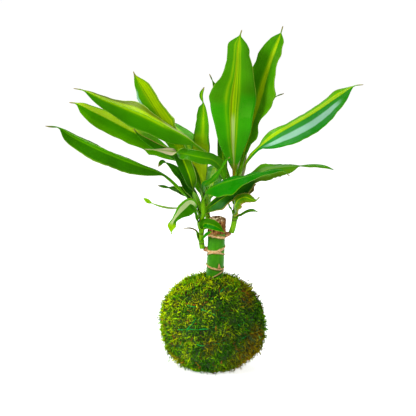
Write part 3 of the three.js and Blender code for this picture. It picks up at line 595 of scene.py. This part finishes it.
rough = worked(cane_skin, "MULTIPLY", streaks, ranged(cane_skin, dull, 0, 1, 0.12, 1))
raised(cane_skin, rough, 0.0009)
cane.data.materials.append(cane_skin)
kept(cane, "green_cane", "cane", "cane")


# Nubs and bud: brown papery knobs where the shoots broke out of the cane, and one sleeping bud.
# They grew from the cane, so each is sunk in its side.
def knob(name, start, end, radius, point):
    """A wrinkled knob from one place to another, drawn to a point by a share from 0 to 1."""
    start, end = np.array(start, float), np.array(end, float)
    ahead = unit(end - start)
    side = unit(np.cross(ahead, (0, 0, 1) if abs(ahead[2]) < 0.8 else (0, 1, 0)))
    other = np.cross(ahead, side)

    def place(u, v):
        angle = u * 2 * math.pi
        girth = np.sin(v * math.pi) ** 0.6 * (1 - point * v) * radius
        girth *= 1 + 0.16 * ripple(v * 9, angle * 0.8, radius) + 0.1 * np.sin(v * 26)
        middle = start + np.outer(v * 1.2 - 0.1, end - start)
        return middle + np.outer(np.cos(angle) * girth, side) + np.outer(np.sin(angle) * girth, other)

    piece = shaped_grid(28, 26, place)
    close_up(piece)
    piece.data.materials.append(husk)
    kept(piece, name, "cane")


husk = new_finish("papery_husk", srgb(168, 118, 72), 0.8)
layers = drawn_out(husk, (260, 260, 900), 5)
link(husk, ramp(husk, layers, shades("30 84 50 28, 50 166 112 66, 70 214 176 122")), "Base Color")
raised(husk, layers, 0.0008)
knob("nub_left", (-6, 0, 166), (-11.6, -2.2, 162.8), 3.9, 0.1)
knob("nub_right", (12, 0, 183), (24.2, -0.2, 185.2), 3.9, 0.15)
knob("nub_back", (-1, 8, 196), (-4.6, 15.2, 196.8), 3.6, 0.1)
knob("sleeping_bud", (9.2, -10.6, 139.5), (8.6, -11.6, 146.5), 2.6, 0.85)


# Left shoot: a soft green stem with 11 leaves, which clasp it one above the other. Corn-plant leaves
# are glossy, deep green at the margins and striped lime yellow along the middle, paler below.
stem_foot, stem_top, bud_length = 3.4, 2.3, 14
leaf_gap, leaf_thickness, clasp_length, stalk_half = 1.05, 0.7, 12, 2.9
margin_places = np.linspace(0.14, 0.96, 22)
dried_tip = srgb(138, 108, 58)
# Two of these greens are painted light: bloom is a pale blue-white painted highlight, and sunlit a
# yellow-green brighter than the leaf's own, laid on leaves in shade.
greens = {name: srgb(*colour) for name, *colour in rows(
    "deep 40 106 0, mid 56 130 0, bright 14 122 0, leafy 78 146 0, lime 122 168 0, light 92 150 0, "
    "yellow 148 182 0, olive 96 116 4, dark 22 80 2, pale 170 196 96, rim 112 150 36, tan 168 134 72, "
    "blush 196 190 146, below 108 148 40, fresh 30 148 4, bloom 160 206 186, amber 184 142 10, "
    "sunlit 194 226 14, dusty 164 182 122, sprout 104 186 10")}
plain_bands = "0 rim, 3 deep, 46 mid, 50 light"


def curve_through(points):
    """A smooth line through points. Gives its length, and places and directions for shares of it."""
    points = np.array(points, float)
    ends = np.vstack((2 * points[0] - points[1], points, 2 * points[-1] - points[-2]))
    t = np.linspace(0, len(points) - 1, 1601)
    i = np.minimum(t.astype(int), len(points) - 2)
    w = (t - i)[:, None]
    before, start, end, after = (ends[i + k] for k in range(4))
    gap_before, gap, gap_after = (np.sqrt(np.linalg.norm(b - a, axis=1))[:, None]
                                  for a, b in ((before, start), (start, end), (end, after)))
    leave = (start - before) / gap_before - (end - before) / (gap_before + gap) + (end - start) / gap
    arrive = (end - start) / gap - (after - start) / (gap + gap_after) + (after - end) / gap_after
    leave, arrive = leave * gap, arrive * gap
    line = start + leave * w + (3 * (end - start) - 2 * leave - arrive) * w ** 2
    line += (2 * (start - end) + leave + arrive) * w ** 3
    run = np.concatenate(([0], np.cumsum(np.linalg.norm(np.diff(line, axis=0), axis=1))))
    ways = np.gradient(line, run, axis=0)

    def at(share):
        place = np.clip(share, 0, 1) * run[-1]
        way = unit(np.column_stack([np.interp(place, run, ways[:, k]) for k in range(3)]))
        return np.column_stack([np.interp(place, run, line[:, k]) for k in range(3)]), way

    return at, run[-1]


def shoot_stem(name, points, nodes):
    """A stem through points, drawn out to its bud, with a raised line at each leaf's node."""
    at, length = curve_through(rows(points))
    bud = length - bud_length

    def girth(height):
        radius = stem_foot + (stem_top - stem_foot) * height / length
        for node in nodes:
            radius = radius + 0.2 * bell(height - node + 1.5, 0.7)
        radius = radius + 0.4 * (1 - smooth(height, length * 0.3, length * 0.5))
        tip = np.interp(height, [bud, bud + bud_length / 2, length], [1, 0.72, 0.02])
        return np.where(height < bud, radius, stem_top * tip)

    def place(u, v):
        share = np.interp(v, [0, 0.02, 0.98, 1], [0, 0, 1, 1])
        middle, way = at(share)
        side = unit(np.cross((0, 1, 0), way))
        front = np.cross(way, side)
        radius = girth(share * length) * np.interp(v, [0, 0.02, 1], [0, 1, 1])
        turn = u * 2 * math.pi
        return middle + side * (radius * np.cos(turn))[:, None] + front * (radius * np.sin(turn))[:, None]

    piece = shaped_grid(24, 90, place)
    close_up(piece)
    heights = points_of(piece)[:, 2] * 1000
    lines = [at(np.array([(node - 1.5) / length]))[0][0][2] for node in nodes]
    note(piece, "node_line", np.max([bell(heights - z, 0.8) for z in lines], axis=0))
    piece.data.materials.append(stem_skin)
    kept(piece, "shoot_" + name, "stem", "stem_" + name)
    return at, length


def blade(node, heading, path, face, width, begin, fold, waves, ripple, **more):
    """One leaf: how far up the stem it sits, which way it leaves it, the places its middle runs through,
    the way its upper side faces, its breadth, where its blade begins along it, its fold in degrees, how
    many waves it has and how high they are. More sets it apart, such as a twist or gloss. Its outline,
    bands, lobes and tones are in per cent. A tone is its four bounds, its green and its amount. A lobe is
    its place, side, lift, reach and breadth. A margin is its side, its first place and offsets in tenths
    of a millimetre. Swell is where an even leaf is broadest, and how fast it broadens and narrows."""
    return dict(more, node=node, heading=heading, path=path, face=face, width=width, begin=begin, fold=fold,
                waves=waves, ripple=ripple)


def leaf_outline(leaf, q):
    """How broad the blade is along itself: 0 at both ends and 1 where it is broadest."""
    if "outline" in leaf:
        shares = rows(leaf["outline"])[0]
        return np.interp(q, np.linspace(0, 1, len(shares)), np.array(shares) / 100)
    broadest, rise, fall = leaf.get("swell", (0.5, 2.6, 2.4))
    up = 1 - np.clip(1 - q / broadest, 0, 1) ** rise
    return np.where(q < broadest, up, 1 - np.clip((q - broadest) / (1 - broadest), 0, 1) ** fall)


def leaf_shape(leaf, stem_at, stem_length):
    """Where each place of a leaf lies, from its clasping base beside the stem to its tip."""
    heading = math.radians(leaf["heading"])
    foot, way = (a[0] for a in stem_at(np.array([leaf["node"] / stem_length])))
    out = np.array((math.cos(heading), math.sin(heading), 0))
    out = unit(out - way * (out @ way))
    reach = stem_foot + (stem_top - stem_foot) * leaf["node"] / stem_length + leaf_gap
    above = stem_at(np.array([(leaf["node"] + 5) / stem_length]))[0][0]
    at, length = curve_through([foot + out * reach, above + out * (reach + 1.3), *rows(leaf["path"])])
    begin, end, width = leaf["begin"], leaf.get("end", 0.94), leaf["width"]

    def place(u, s):
        sign, edge = np.sign(2 * u - 1), np.abs(2 * u - 1)
        middle, way = at(s)

        turned = smooth(s, 0, 0.3)[:, None]
        face = -out * (1 - turned) + unit(np.array(leaf["face"])) * turned
        face = unit(face - way * np.sum(face * way, axis=1)[:, None])
        side = np.cross(way, face)
        if "twist" in leaf:
            angle, start, stop = leaf["twist"]
            angle = math.radians(angle) * smooth(s, start, stop)[:, None]
            cos, sin = np.cos(angle), np.sin(angle)
            face, side = face * cos - side * sin, side * cos + face * sin

        q = np.clip((s - begin) / (end - begin), 0, 1)
        clasp, thin = smooth(s * length, 0, clasp_length), smooth(s, begin, 1)
        stalk = reach * 0.76 * (1 - clasp) + min(stalk_half, width * 0.4) * clasp
        stalk = stalk * (1 - thin) + 0.4 * thin
        half = stalk + (width / 2 - stalk) * leaf_outline(leaf, q)
        past = np.clip((s - end) / (1 - end), 0, 1)
        half += np.where(s > end, leaf.get("tip", 0.5) * np.sin(math.pi * past), 0)

        opened = smooth(s, 0, max(begin * 1.4, 0.12))
        fold = math.radians(leaf["fold"]) * opened
        curl = (0.95 + 0.05 * clasp) * (1 - opened) + (math.radians(leaf.get("curl", 0)) + 1e-3) * opened
        slope = fold + curl * edge
        swing = leaf["waves"] * 2 * math.pi * q + sign * 1.7
        calm = np.sin(math.pi * q)
        half = half * (1 + 0.05 * np.sin(swing * 1.3 + 0.8) * calm)
        lifted = leaf["ripple"] * np.sin(swing) * calm
        lifted += 0.25 * np.sin(swing * 4.3) * calm * min(1, width / 20)
        for where, lobe_side, up, outwards, spread in rows(leaf.get("lobes", "")):
            near = np.where(sign == lobe_side, bell(s - where / 100, spread / 100), 0)
            half = half + outwards * near
            lifted = lifted + up * near

        for margin_side, first, *offsets in rows(leaf.get("margin", "")):
            waver = np.zeros(len(margin_places))
            waver[int(first):int(first) + len(offsets)] = np.array(offsets) / 10
            half = half + np.where(sign == margin_side, np.interp(s, margin_places, waver), 0)
        if "ragged" in leaf:
            first, last, depth = leaf["ragged"]
            torn = ripple(s * 60, sign * 5, 1) + 0.6 * ripple(s * 140, sign * 5, 2)
            torn_part = smooth(s, first - 0.05, first) * (1 - smooth(s, last, last + 0.05))
            half = half + depth * torn * torn_part * edge ** 2
        across = half * (np.sin(slope) - np.sin(fold)) / curl
        raised_by = half * (np.cos(fold) - np.cos(slope)) / curl + lifted * edge ** 1.5
        return middle + side * (sign * across)[:, None] + face * raised_by[:, None]

    return place


def leaf_veins(finish):
    """A leaf's own map, of shares across and along, and fine lines along it."""
    flat = add_node(finish, "UVMap").outputs["UV"]
    drawn = add_node(finish, "Mapping", {"Vector": flat, "Scale": (64, 1.6, 1)}).outputs["Vector"]
    return flat, grain(finish, 1, 4, drawn, 0.6)


def green_stops(words):
    """The stops of a ramp, from words such as "0 rim, 5 deep, 100 rim". Where they end at or before the
    middle, the other half is the same, mirrored."""
    stops = [(place / 100, greens[green]) for place, green in rows(words)]
    if stops[-1][0] <= 0.5:
        stops += [(round(1 - place, 3), green) for place, green in reversed(stops) if place < 0.5]
    return stops


def lightened(finish, colour, by):
    return add_node(finish, "HueSaturation", {"Color": colour, "Value": by}).outputs["Color"]


def toned(finish, colour, split, tone):
    """Lays another green over a part of a leaf, between shares across and along it, soft at the edges."""
    left, right, first, last, share = (tone[k] / 100 for k in (0, 1, 2, 3, 5))
    for axis, low, high, soft in (("X", left, right, 0.04), ("Y", first, last, 0.07)):
        for start, stop in ((low - soft, low), (high + soft, high)):
            step = ranged(finish, split.outputs[axis], start, stop, interpolation_type="SMOOTHSTEP")
            share = worked(finish, "MULTIPLY", step, share)
    return painted(finish, colour, greens[tone[4]], share)


def leaf_finish(name, leaf):
    """The upper side of one leaf: its stripes across it, a pale channel at its base and a dried tip."""
    finish = new_finish("leaf_" + name, greens["mid"], 0.28, Specular_IOR_Level=leaf.get("gloss", 0.15),
                        Specular_Tint=(*leaf.get("glint", (0.7, 1, 0.15)), 1))
    flat, veins = leaf_veins(finish)
    split = add_node(finish, "SeparateXYZ", {"Vector": flat})
    across, along = split.outputs["X"], split.outputs["Y"]
    drift = add_node(finish, "Mapping", {"Vector": flat, "Scale": (5, 3.2, 1)}).outputs["Vector"]
    drifted = worked(finish, "MULTIPLY_ADD", grain(finish, 1, 2, drift), 0.07, across)
    shifted = worked(finish, "SUBTRACT", drifted, 0.035)
    colour = ramp(finish, shifted, green_stops(leaf.get("bands", plain_bands)))
    colour = lightened(finish, colour, ranged(finish, veins, 0.25, 0.75, 0.78, 1.2))
    cloudy = ranged(finish, grain(finish, 38, 3), 0.5, 0.75, 0, leaf.get("clouds", 0.2))
    colour = painted(finish, colour, greens["leafy"], cloudy)
    for tone in rows(leaf.get("tones", "")):
        colour = toned(finish, colour, split, tone)
    stalk = leaf.get("stalk", leaf["begin"])
    channel = ranged(finish, along, stalk * 0.5, leaf.get("stalk", stalk + 0.08), 0.85, 0)
    colour = painted(finish, colour, greens[leaf.get("channel", "leafy")], channel)
    if "later" in leaf:
        start, stop, green, amount = leaf["later"]
        colour = painted(finish, colour, greens[green], ranged(finish, along, start, stop, 0, amount))
    dry = leaf.get("dry", 0.955)
    if dry < 1:
        dried = ranged(finish, along, dry, min(dry + 0.04, 1), 0, 0.85)
        colour = painted(finish, colour, dried_tip, dried)
    colour = lightened(finish, colour, ranged(finish, grain(finish, 17, 2), 0.35, 0.65, 0.78, 1.2))
    link(finish, colour, "Base Color")
    link(finish, ranged(finish, grain(finish, 90, 3), 0.3, 0.7, 0.24, 0.4), "Roughness")
    raised(finish, veins, 0.0005, 0.6)
    return finish


def underside(name, words):
    """The paler side of a leaf, with fine raised lines, a lime middle and a greener sheath."""
    finish = new_finish(name, greens["leafy"], 0.45, Specular_IOR_Level=0.1, Specular_Tint=green_glint)
    flat, veins = leaf_veins(finish)
    split = add_node(finish, "SeparateXYZ", {"Vector": flat})
    below = ramp(finish, split.outputs["Y"], green_stops(words))
    below = lightened(finish, below, ranged(finish, veins, 0.25, 0.75, 0.72, 1.24))
    stripe = [(at, (amount,) * 3) for at, amount in ((0.34, 0), (0.44, 0.7), (0.56, 0.7), (0.66, 0))]
    middle = ramp(finish, split.outputs["X"], stripe)
    link(finish, painted(finish, below, greens["lime"], middle), "Base Color")
    raised(finish, veins, 0.0006)
    return finish


def grow_shoot(shoot, points, steps, leaves):
    """A shoot's stem and its leaves, each a thin sheet with its own upper side and a paler one below."""
    stem_at, stem_length = shoot_stem(shoot, points, [leaf["node"] for leaf in leaves.values()])
    for short_name, leaf in leaves.items():
        name = shoot + "_" + short_name
        piece = shaped_grid(16, steps, leaf_shape(leaf, stem_at, stem_length))
        piece.data.materials.append(leaf_finish(name, leaf))
        below = underside("under_" + name, leaf["under"]) if "under" in leaf else leaf_below
        piece.data.materials.append(below)
        apply_modifier(piece, "SOLIDIFY", thickness=leaf_thickness / 1000, offset=0, material_offset=1)
        kept(piece, "blade_" + name, "leaf", "leaf_" + name)


stem_skin = new_finish("shoot_skin", srgb(108, 152, 34), 0.4, Specular_IOR_Level=0.12,
                       Specular_Tint=green_glint)
lines = drawn_out(stem_skin, (900, 900, 40), 4)
skin = ramp(stem_skin, lines, shades("30 62 126 0, 50 96 156 4, 72 146 188 30"))
skin = painted(stem_skin, skin, srgb(52, 62, 18), noted(stem_skin, "node_line"))
link(stem_skin, skin, "Base Color")
raised(stem_skin, lines, 0.0004)
leaf_below = underside("leaf_underside", "0 leafy, 20 light, 35 leafy, 100 below")

left_line = "-13.5 -3 166, -15 -4.5 176, -15 -5.5 190, -15 -6 207, -14 -6 224, -13.5 -6 238"
grow_shoot("left", left_line, 64, {
    "sprig": blade(8.5, 300, "-8 -18 187.5, -1 -18.5 192", (-0.3, -0.7, 0.6), 5.5, 0.35, 15, 0, 0,
        bands="0 light, 10 bright", channel="bright"),
    "tiny": blade(12, 190, "-22 -8 190, -28 -8 193.5, -39 -8 194", (0.3, -0.5, 0.8), 6.6, 0, 30, 0, 0,
        end=0.5, outline="90 100 90 60 30 10 0", bands="0 leafy, 50 light", dry=0.4, channel="leafy"),
    "flap": blade(22, 290, "-11 -15 201, 1 -20 200, 9 -21 196, 16 -20 190.5", (0.3, -0.75, 0.6), 17, 0.12,
        12, 0, 0, bands="0 lime, 6 deep, 40 deep, 50 light, 56 bright, 95 bright, 100 light",
        swell=(0.45, 2.6, 2)),
    "curl": blade(27.5, 219,
        "-20.5 -15.5 214.7, -24.4 -20 226.9, -29.3 -23 229.7, -34.9 -25 225.1, -43.4 -27.5 216.8, "
        "-50.7 -29 207.8, -53.8 -30 198.6, -54.3 -30 189.9", (0, -1, 0.2), 19, 0.06, 8, 2, 1, end=0.97,
        curl=-6, outline="0 12 22 45 80 100 92 55 32 55 0",
        lobes="30 1 0 -4.8 12, 52 -1 0 2.6 13, 12 -1 0 -0.6 10, 88 1 0 1 6, 27 -1 0 -1.5 6",
        bands="0 leafy, 5 deep, 46 deep, 50 light, 54 mid, 86 mid, 92 leafy, 100 light", channel="light",
        dry=1.1, gloss=0.1, tones="50 80 42 84 dusty 90, 0 100 88 100 lime 95", stalk=0.2),
    "ribbon": blade(33, 165, "-24 -2 216, -35 -5 223, -48 -9 221, -63 -12 223, -80 -15 229, -91 -16 236",
        (0.1, 0.3, 0.95), 3.2, 0.2, 20, 0, 0, end=0.86, tip=2.6, twist=(120, 0.3, 0.85),
        bands="0 lime, 50 light", channel="dusty", stalk=0.8, dry=1.1),
    "bow": blade(35, 265,
        "-12.5 -17 214, -12.5 -23 231, -8 -31 247, 4 -37 256, 21 -41 263, 38 -42 267.5, 64 -41 274, "
        "90 -40 277, 100 -40 269", (-0.1, -0.46, 0.88), 42, 0.3, -24, 4, 1.2,
        outline="0 50 85 100 97 75 50 34 26 22 20 15 0", bands="0 light, 4 bright, 46 bright, 50 leafy",
        channel="leafy", clouds=0.05),
    "small": blade(38, 100, "-20 7 225, -33 12 237, -46 13 242.5, -61 12 246, -73 11 248.5",
        (0.15, -0.8, 0.55), 12, 0.3, 12, 2, 1, end=0.82, tip=1.6, bands="0 rim, 5 dark, 46 deep, 50 light"),
    "reach": blade(41, 20,
        "-8 -11 219, 2 -16 228, 14 -18 237, 36 -16 250.5, 60 -20 269.5, 75 -22 275.8, 92 -21 278, "
        "118 -19 279.5, 134 -18 279.5, 148 -17 278, 159 -17 274", (-0.3, -0.7, 0.64), 28, 0.05, -14, 3.5,
        1.6, end=0.78, tip=2.6, outline="0 50 85 98 98 90 82 74 60 34 0",
        lobes="56 1 0 2.5 8, 24 -1 0 -4 9, 27 1 0 -1.6 5",
        bands="0 tan, 4 olive, 10 deep, 46 dark, 50 lime, 54 deep, 90 dark, 97 olive, 100 tan",
        ragged=(0.45, 0.76, 0.9), dry=1.1, channel="light", later=(0.42, 0.56, "leafy", 0.6),
        glint=(0.7, 0.95, 1), gloss=0.12,
        margin="-1 8 -20 7 40 2 -28 -6 -7, 1 1 24 0 0 0 0 0 0 -26 -22 6 18 17 36 40 40 0 0 0 -10",
        tones="30 50 55 78 dusty 45, 70 100 50 80 olive 75"),
    "long": blade(43.5, 205,
        "-30.5 -15 232, -47 -20 252.5, -63 -27 268.5, -94 -38 285, -123 -46 298, -146 -52 309, "
        "-175 -55 323, -199 -55 335, -214 -54 336", (0, -0.47, 0.88), 38, 0.32, -32, 3, 0.5, end=0.93,
        tip=1.7, lobes="20 1 0 1.4 9, 20 -1 0 1.2 9",
        bands="0 rim, 5 deep, 36 deep, 40 leafy, 43 mid, 46 mid, 50 light, 70 light, 76 leafy, 97 mid, "
              "100 rim", channel="sprout", gloss=0.1,
        margin="-1 5 -14 -10 -6 6 17 6 3 21 30 12 5 11 14 18 27", stalk=0.3, swell=(0.58, 3.4, 2.5)),
    "dark": blade(47, 150, "-22 1 231, -31 5 244, -39 8 256, -48 9 268, -59 8 278, -67 6 281.5, -72 5 275",
        (0.55, -0.8, 0.25), 14, 0.06, 10, 2.5, 1.8, end=0.86, tip=2.6,
        bands="0 rim, 4 dark, 46 dark, 50 mid", channel="mid"),
    "strap": blade(51, 235,
        "-21 -11 232, -26 -11 246, -31 -9 266, -46 -1 300, -67 9 336, -80 11 358, -93 9 380, -101 8 394, "
        "-104 7 401", (0.25, -0.95, 0.1), 25, 0.02, 10, 3.5, 1.8, end=0.98, curl=-10,
        outline="0 42 62 70 76 85 95 100 98 80 0", lobes="86 -1 0 3.5 10",
        bands="0 pale, 3 mid, 34 leafy, 40 light, 44 lime, 47 lime, 49 deep, 51 lime, 58 yellow, 64 lime, "
              "70 yellow, 76 lime, 84 yellow, 90 light, 95 rim, 100 pale", channel="light", gloss=0.12,
        # The last tone is a painted highlight on the margin, three quarters of the way along.
        tones="0 45 0 38 dark 90, 56 94 0 38 deep 85, 47 53 0 40 lime 75, 0 8 72 84 bloom 70", stalk=0.04,
        clouds=0.05, margin="-1 19 -37 -12 -3, 1 12 33 15 11 -5 -15 -8 0 9 11"),
})


# Right shoot: the tallest, with 12 leaves, of which two stand up and two lie out over the left and
# the right. Its foot breaks from the cane's right side in a papery nub.
right_line = "25 0 186.5, 28 0 196, 30 1 210, 31 2 228, 31.5 3 245, 31 4 262, 31 4 270"
grow_shoot("right", right_line, 72, {
    "sprig": blade(19, 340, "37 -5 211, 45 -6 216, 52 -7 218, 60 -7 216.5", (-0.1, -0.7, 0.7), 5, 0.5, 12,
        0, 0, bands="0 light, 15 mid, 50 light", channel="light"),
    "crook": blade(23, 272,
        "30 -17 218, 29.5 -30.5 229, 34 -38.5 238, 42 -40 241.5, 50 -41 239, 56 -42 237.5, 61 -42 242",
        (-0.3, -0.8, 0.5), 17, 0.1, -18, 3, 2.4, bands="0 tan, 7 olive, 42 mid, 50 yellow",
        ragged=(0.3, 0.9, 0.7), channel="yellow", swell=(0.6, 2, 2)),
    "ragged": blade(30, 318, "38 -8 231, 43 -14 240, 49 -16 247, 57 -18 255", (-0.4, -0.85, 0.3), 11, 0.2,
        12, 3, 2, lobes="85 1 0 2 5", bands="0 tan, 12 olive, 45 mid, 50 lime, 58 olive, 90 olive, 100 tan",
        ragged=(0.3, 0.95, 1), dry=0.8, swell=(0.6, 2.6, 2.4)),
    "low": blade(26, 205,
        "22 -5 222, 19 -4 240, 16 -4 258, 11 -7 275, -1 -15 287, -13 -21 290.5, -30 -24 294.5, "
        "-47 -24 298, -68 -21 300.5, -89 -16 301", (0.25, -0.85, 0.45), 17, 0.3, 4, 2.5, 2,
        lobes="40 1 2 2 6", twist=(150, 0.68, 0.8),
        bands="0 rim, 5 mid, 44 mid, 50 light, 56 mid, 95 deep, 100 rim", channel="leafy",
        under="0 leafy, 66 leafy, 74 blush, 100 blush", tones="0 40 46 70 deep 50", swell=(0.45, 2.6, 2.4)),
    "left": blade(39.5, 200,
        "24 2 250, 14 3 273, 2 1 285, -22 -7 306, -34 -12 316, -56 -17 329, -94 -21 349, -139 -25 367, "
        "-170 -26 380, -180 -25 381.5", (0.1, -0.57, 0.8), 44, 0.37, -27, 2, 1.2, end=0.95,
        lobes="69 1 8 0 6, 47 1 0 -7 9, 92 1 0 2.5 4",
        bands="0 rim, 4 deep, 34 mid, 39 leafy, 42 lime, 48 lime, 50 leafy, 52 yellow, 68 yellow, "
              "78 olive, 95 olive, 100 pale", channel="light",
        tones="2 45 0 50 mid 90, 2 40 0 100 deep 55, 60 100 20 50 dusty 50", gloss=0.1,
        margin="1 15 22 22 22 31", swell=(0.45, 3, 2.2)),
    "out": blade(43, 300,
        "35 0 256, 43 -3 278, 50 -10 291, 62 -16 304, 88 -20 324, 126 -27 347, 164 -32 373, 184 -33 386, "
        "194 -33 387", (-0.1, -0.6, 0.8), 46, 0.36, -28, 2.5, 1, end=0.95,
        lobes="42 -1 6 0 6, 86 -1 6 0 5, 27 -1 0 1.6 7, 16 1 0 2 12",
        bands="0 olive, 8 leafy, 22 leafy, 28 yellow, 36 yellow, 40 light, 44 yellow, 50 yellow, "
              "53 bright, 97 bright, 100 light", channel="olive", glint=(0.8, 0.95, 1), gloss=0.12,
        # This tone is a painted highlight: a pale blue-white band along the middle of the near half.
        tones="68 80 42 80 bloom 60", stalk=0.32,
        margin="-1 7 -27 -15 -18 -40 0 0 -40 -40 -40 -15 15 24, "
               "1 6 19 22 11 0 18 36 38 18 -3 0 11 -8 -8 -11 -16", swell=(0.45, 2.8, 2.6)),
    "rear": blade(33, 85, "34 24 244, 29 60 285, 30 100 325, 30 140 345", (0, -0.55, 0.83), 24, 0.3, -8, 3,
        2.2, bands="0 rim, 3 deep, 40 mid, 45 lime, 55 yellow, 60 mid, 97 deep, 100 rim"),
    "far": blade(37, 35, "38 22 252, 42 38 284, 48 50 310, 59 58 335, 74 61 354, 86 60 363, 97 58 367.5",
        (-0.55, -0.75, 0.3), 13, 0.15, 12, 2.5, 2),
    "behind": blade(45, 113,
        "20 17 262, 14 25 283, 14.5 30 299, 16 36 320, 12 40 347, 5 40 374, -4 36 395.5",
        (0.15, -0.95, 0.2), 20, 0.25, 14, 2.5, 1.4, bands="0 rim, 3 deep, 44 mid, 50 lime"),
    "hook": blade(47, 25, "39 17 262, 43 31 290, 50 40 308, 58 42 327", (-0.5, -0.7, 0.4), 13, 0.2, 12, 2,
        2, bands="0 blush, 10 blush, 46 olive, 50 pale, 54 blush, 100 blush", channel="mid",
        swell=(0.5, 2, 4)),
    "back_tall": blade(52, 82,
        "35 12 262, 40 19 281, 46 27 303, 56 34 338, 70 42 386, 80 45 416, 89 45 441, 94 43 459",
        (-0.45, -0.88, 0.1), 46, 0.22, 16, 3, 2.4, end=0.96, lobes="76 1 0 -6 10, 42 1 0 -5 6",
        bands="0 rim, 2 mid, 34 mid, 39 leafy, 42 lime, 46 yellow, 55 yellow, 59 leafy, 64 mid, 90 mid, "
              "96 leafy, 100 rim", tones="62 100 20 62 leafy 50",
        margin="-1 17 23 23 32 40, 1 4 -26 23 13 -15 -10 13 14 -2 31 -3 -13 -15 -31 -21 10 -2 36",
        swell=(0.55, 2, 2.4)),
    "tall": blade(58.5, 143,
        "28.5 11 270, 27.5 13 296, 27 16 323, 28 20 356, 31.5 22 395, 34 19 430, 36 16 446, 38.5 15 455",
        (0, -0.99, 0.1), 58, 0.13, 10, 2.5, 2.4, end=0.965,
        lobes="73 -1 0 -6 7, 56 -1 0 2 5, 90 -1 0 3.5 4",
        bands="0 rim, 2 mid, 26 mid, 30 leafy, 34 lime, 38 leafy, 41 mid, 43.5 lime, 46 olive, 49 yellow, "
              "51.5 light, 54 yellow, 57 mid, 60 lime, 63 leafy, 67 mid, 98 deep, 100 rim", channel="amber",
        gloss=0.2, tones="0 36 10 50 fresh 50, 66 100 10 56 fresh 60, 48 53 12 42 dusty 50", stalk=0.17,
        margin="-1 11 33 40 34 0 -3 -15 -28 -7 9 40, 1 19 40 40", swell=(0.46, 1.7, 2.3)),
})


# Back shoot: behind the cane, mostly hidden from the front, with six leaves that fill the back and
# show between the others.
back_line = "-5 16 199, -7 17.5 208, -8 18 221, -10 17 235, -11 15 248, -11 14 256"
grow_shoot("back", back_line, 64, {
    "rear": blade(13, 75, "-3 42 236, 4 85 262, 12 128 256", (0, -0.3, 0.95), 28, 0.15, -8, 3, 2,
        bands="0 rim, 3 deep, 36 mid, 42 lime, 50 light, 58 yellow, 64 mid, 97 deep, 100 rim"),
    "lean": blade(18, 125, "-17 34 248, -28 60 285, -45 82 314, -74 100 330", (0.2, -0.6, 0.75), 34, 0.12,
        -8, 3, 2.4, bands="0 rim, 3 leafy, 40 mid, 46 lime, 54 light, 60 mid, 97 mid, 100 rim"),
    "twist": blade(24, 300,
        "-10 6 240, -11 -2 251, -6 -9 255, 0 -14 260, 8 -17.5 270, 14 -19 280, 18 -19 287, 23 -18 291",
        (-0.5, -0.8, 0.4), 9, 0.25, 14, 2, 1.6, end=0.8, tip=1.2,
        bands="0 light, 8 bright, 46 mid, 50 light", channel="leafy", swell=(0.4, 2.6, 2.4)),
    "shade": blade(26, 218,
        "-17 8 250, -26 11 272, -46 8 287, -72 -1 301, -85 -4 309.5, -97 -4 318, -104 -3 326.5",
        (0.35, -0.85, 0.4), 11, 0.3, 6, 1, 0.6, end=0.98,
        bands="0 mid, 10 deep, 50 deep, 90 deep, 95 tan, 100 tan", swell=(0.5, 2.6, 2)),
    "left": blade(33, 152,
        "-20 14 254, -32 18 272, -50 17 286, -85 9 310, -122 3 330, -155 0 347.5, -180 -3 360, -188 -3 361",
        (0.1, -0.68, 0.7), 36, 0.28, -17, 2.5, 1, end=0.96, lobes="92 1 0 3 4",
        bands="0 rim, 3 leafy, 30 mid, 47 mid, 51 yellow, 88 yellow, 94 lime, 98 leafy, 100 rim",
        channel="light", gloss=0.04, clouds=0.05, tones="50 100 0 52 mid 90",
        margin="-1 7 -3 30 -11 -21 -18 -10 -4 22 18 15 24 35 40 40", swell=(0.5, 2.6, 2.6)),
    "upright": blade(38.5, 72,
        "-13.5 21 252, -16 22 275, -14 21 308, -13 20 335, -12 18 356, -15 16 369, -11 15 380",
        (-0.35, -0.93, 0.1), 23, 0.05, 12, 3, 2, end=0.85, tip=2.2, lobes="30 -1 0 1.5 15, 30 1 0 1.5 15",
        bands="0 rim, 3 deep, 30 mid, 38 leafy, 44 light, 50 lime, 62 lime, 70 leafy, 95 mid, 100 rim",
        # The sunlit tones make the lower part brighter than its own lime yellow: painted light on a part in
        # shade.
        channel="light", tones="5 90 6 30 sunlit 75, 5 90 30 42 sunlit 50, 10 85 42 52 lime 50",
        clouds=0.05, margin="-1 13 4 -3 12 21 35", swell=(0.5, 2.6, 2.4)),
})
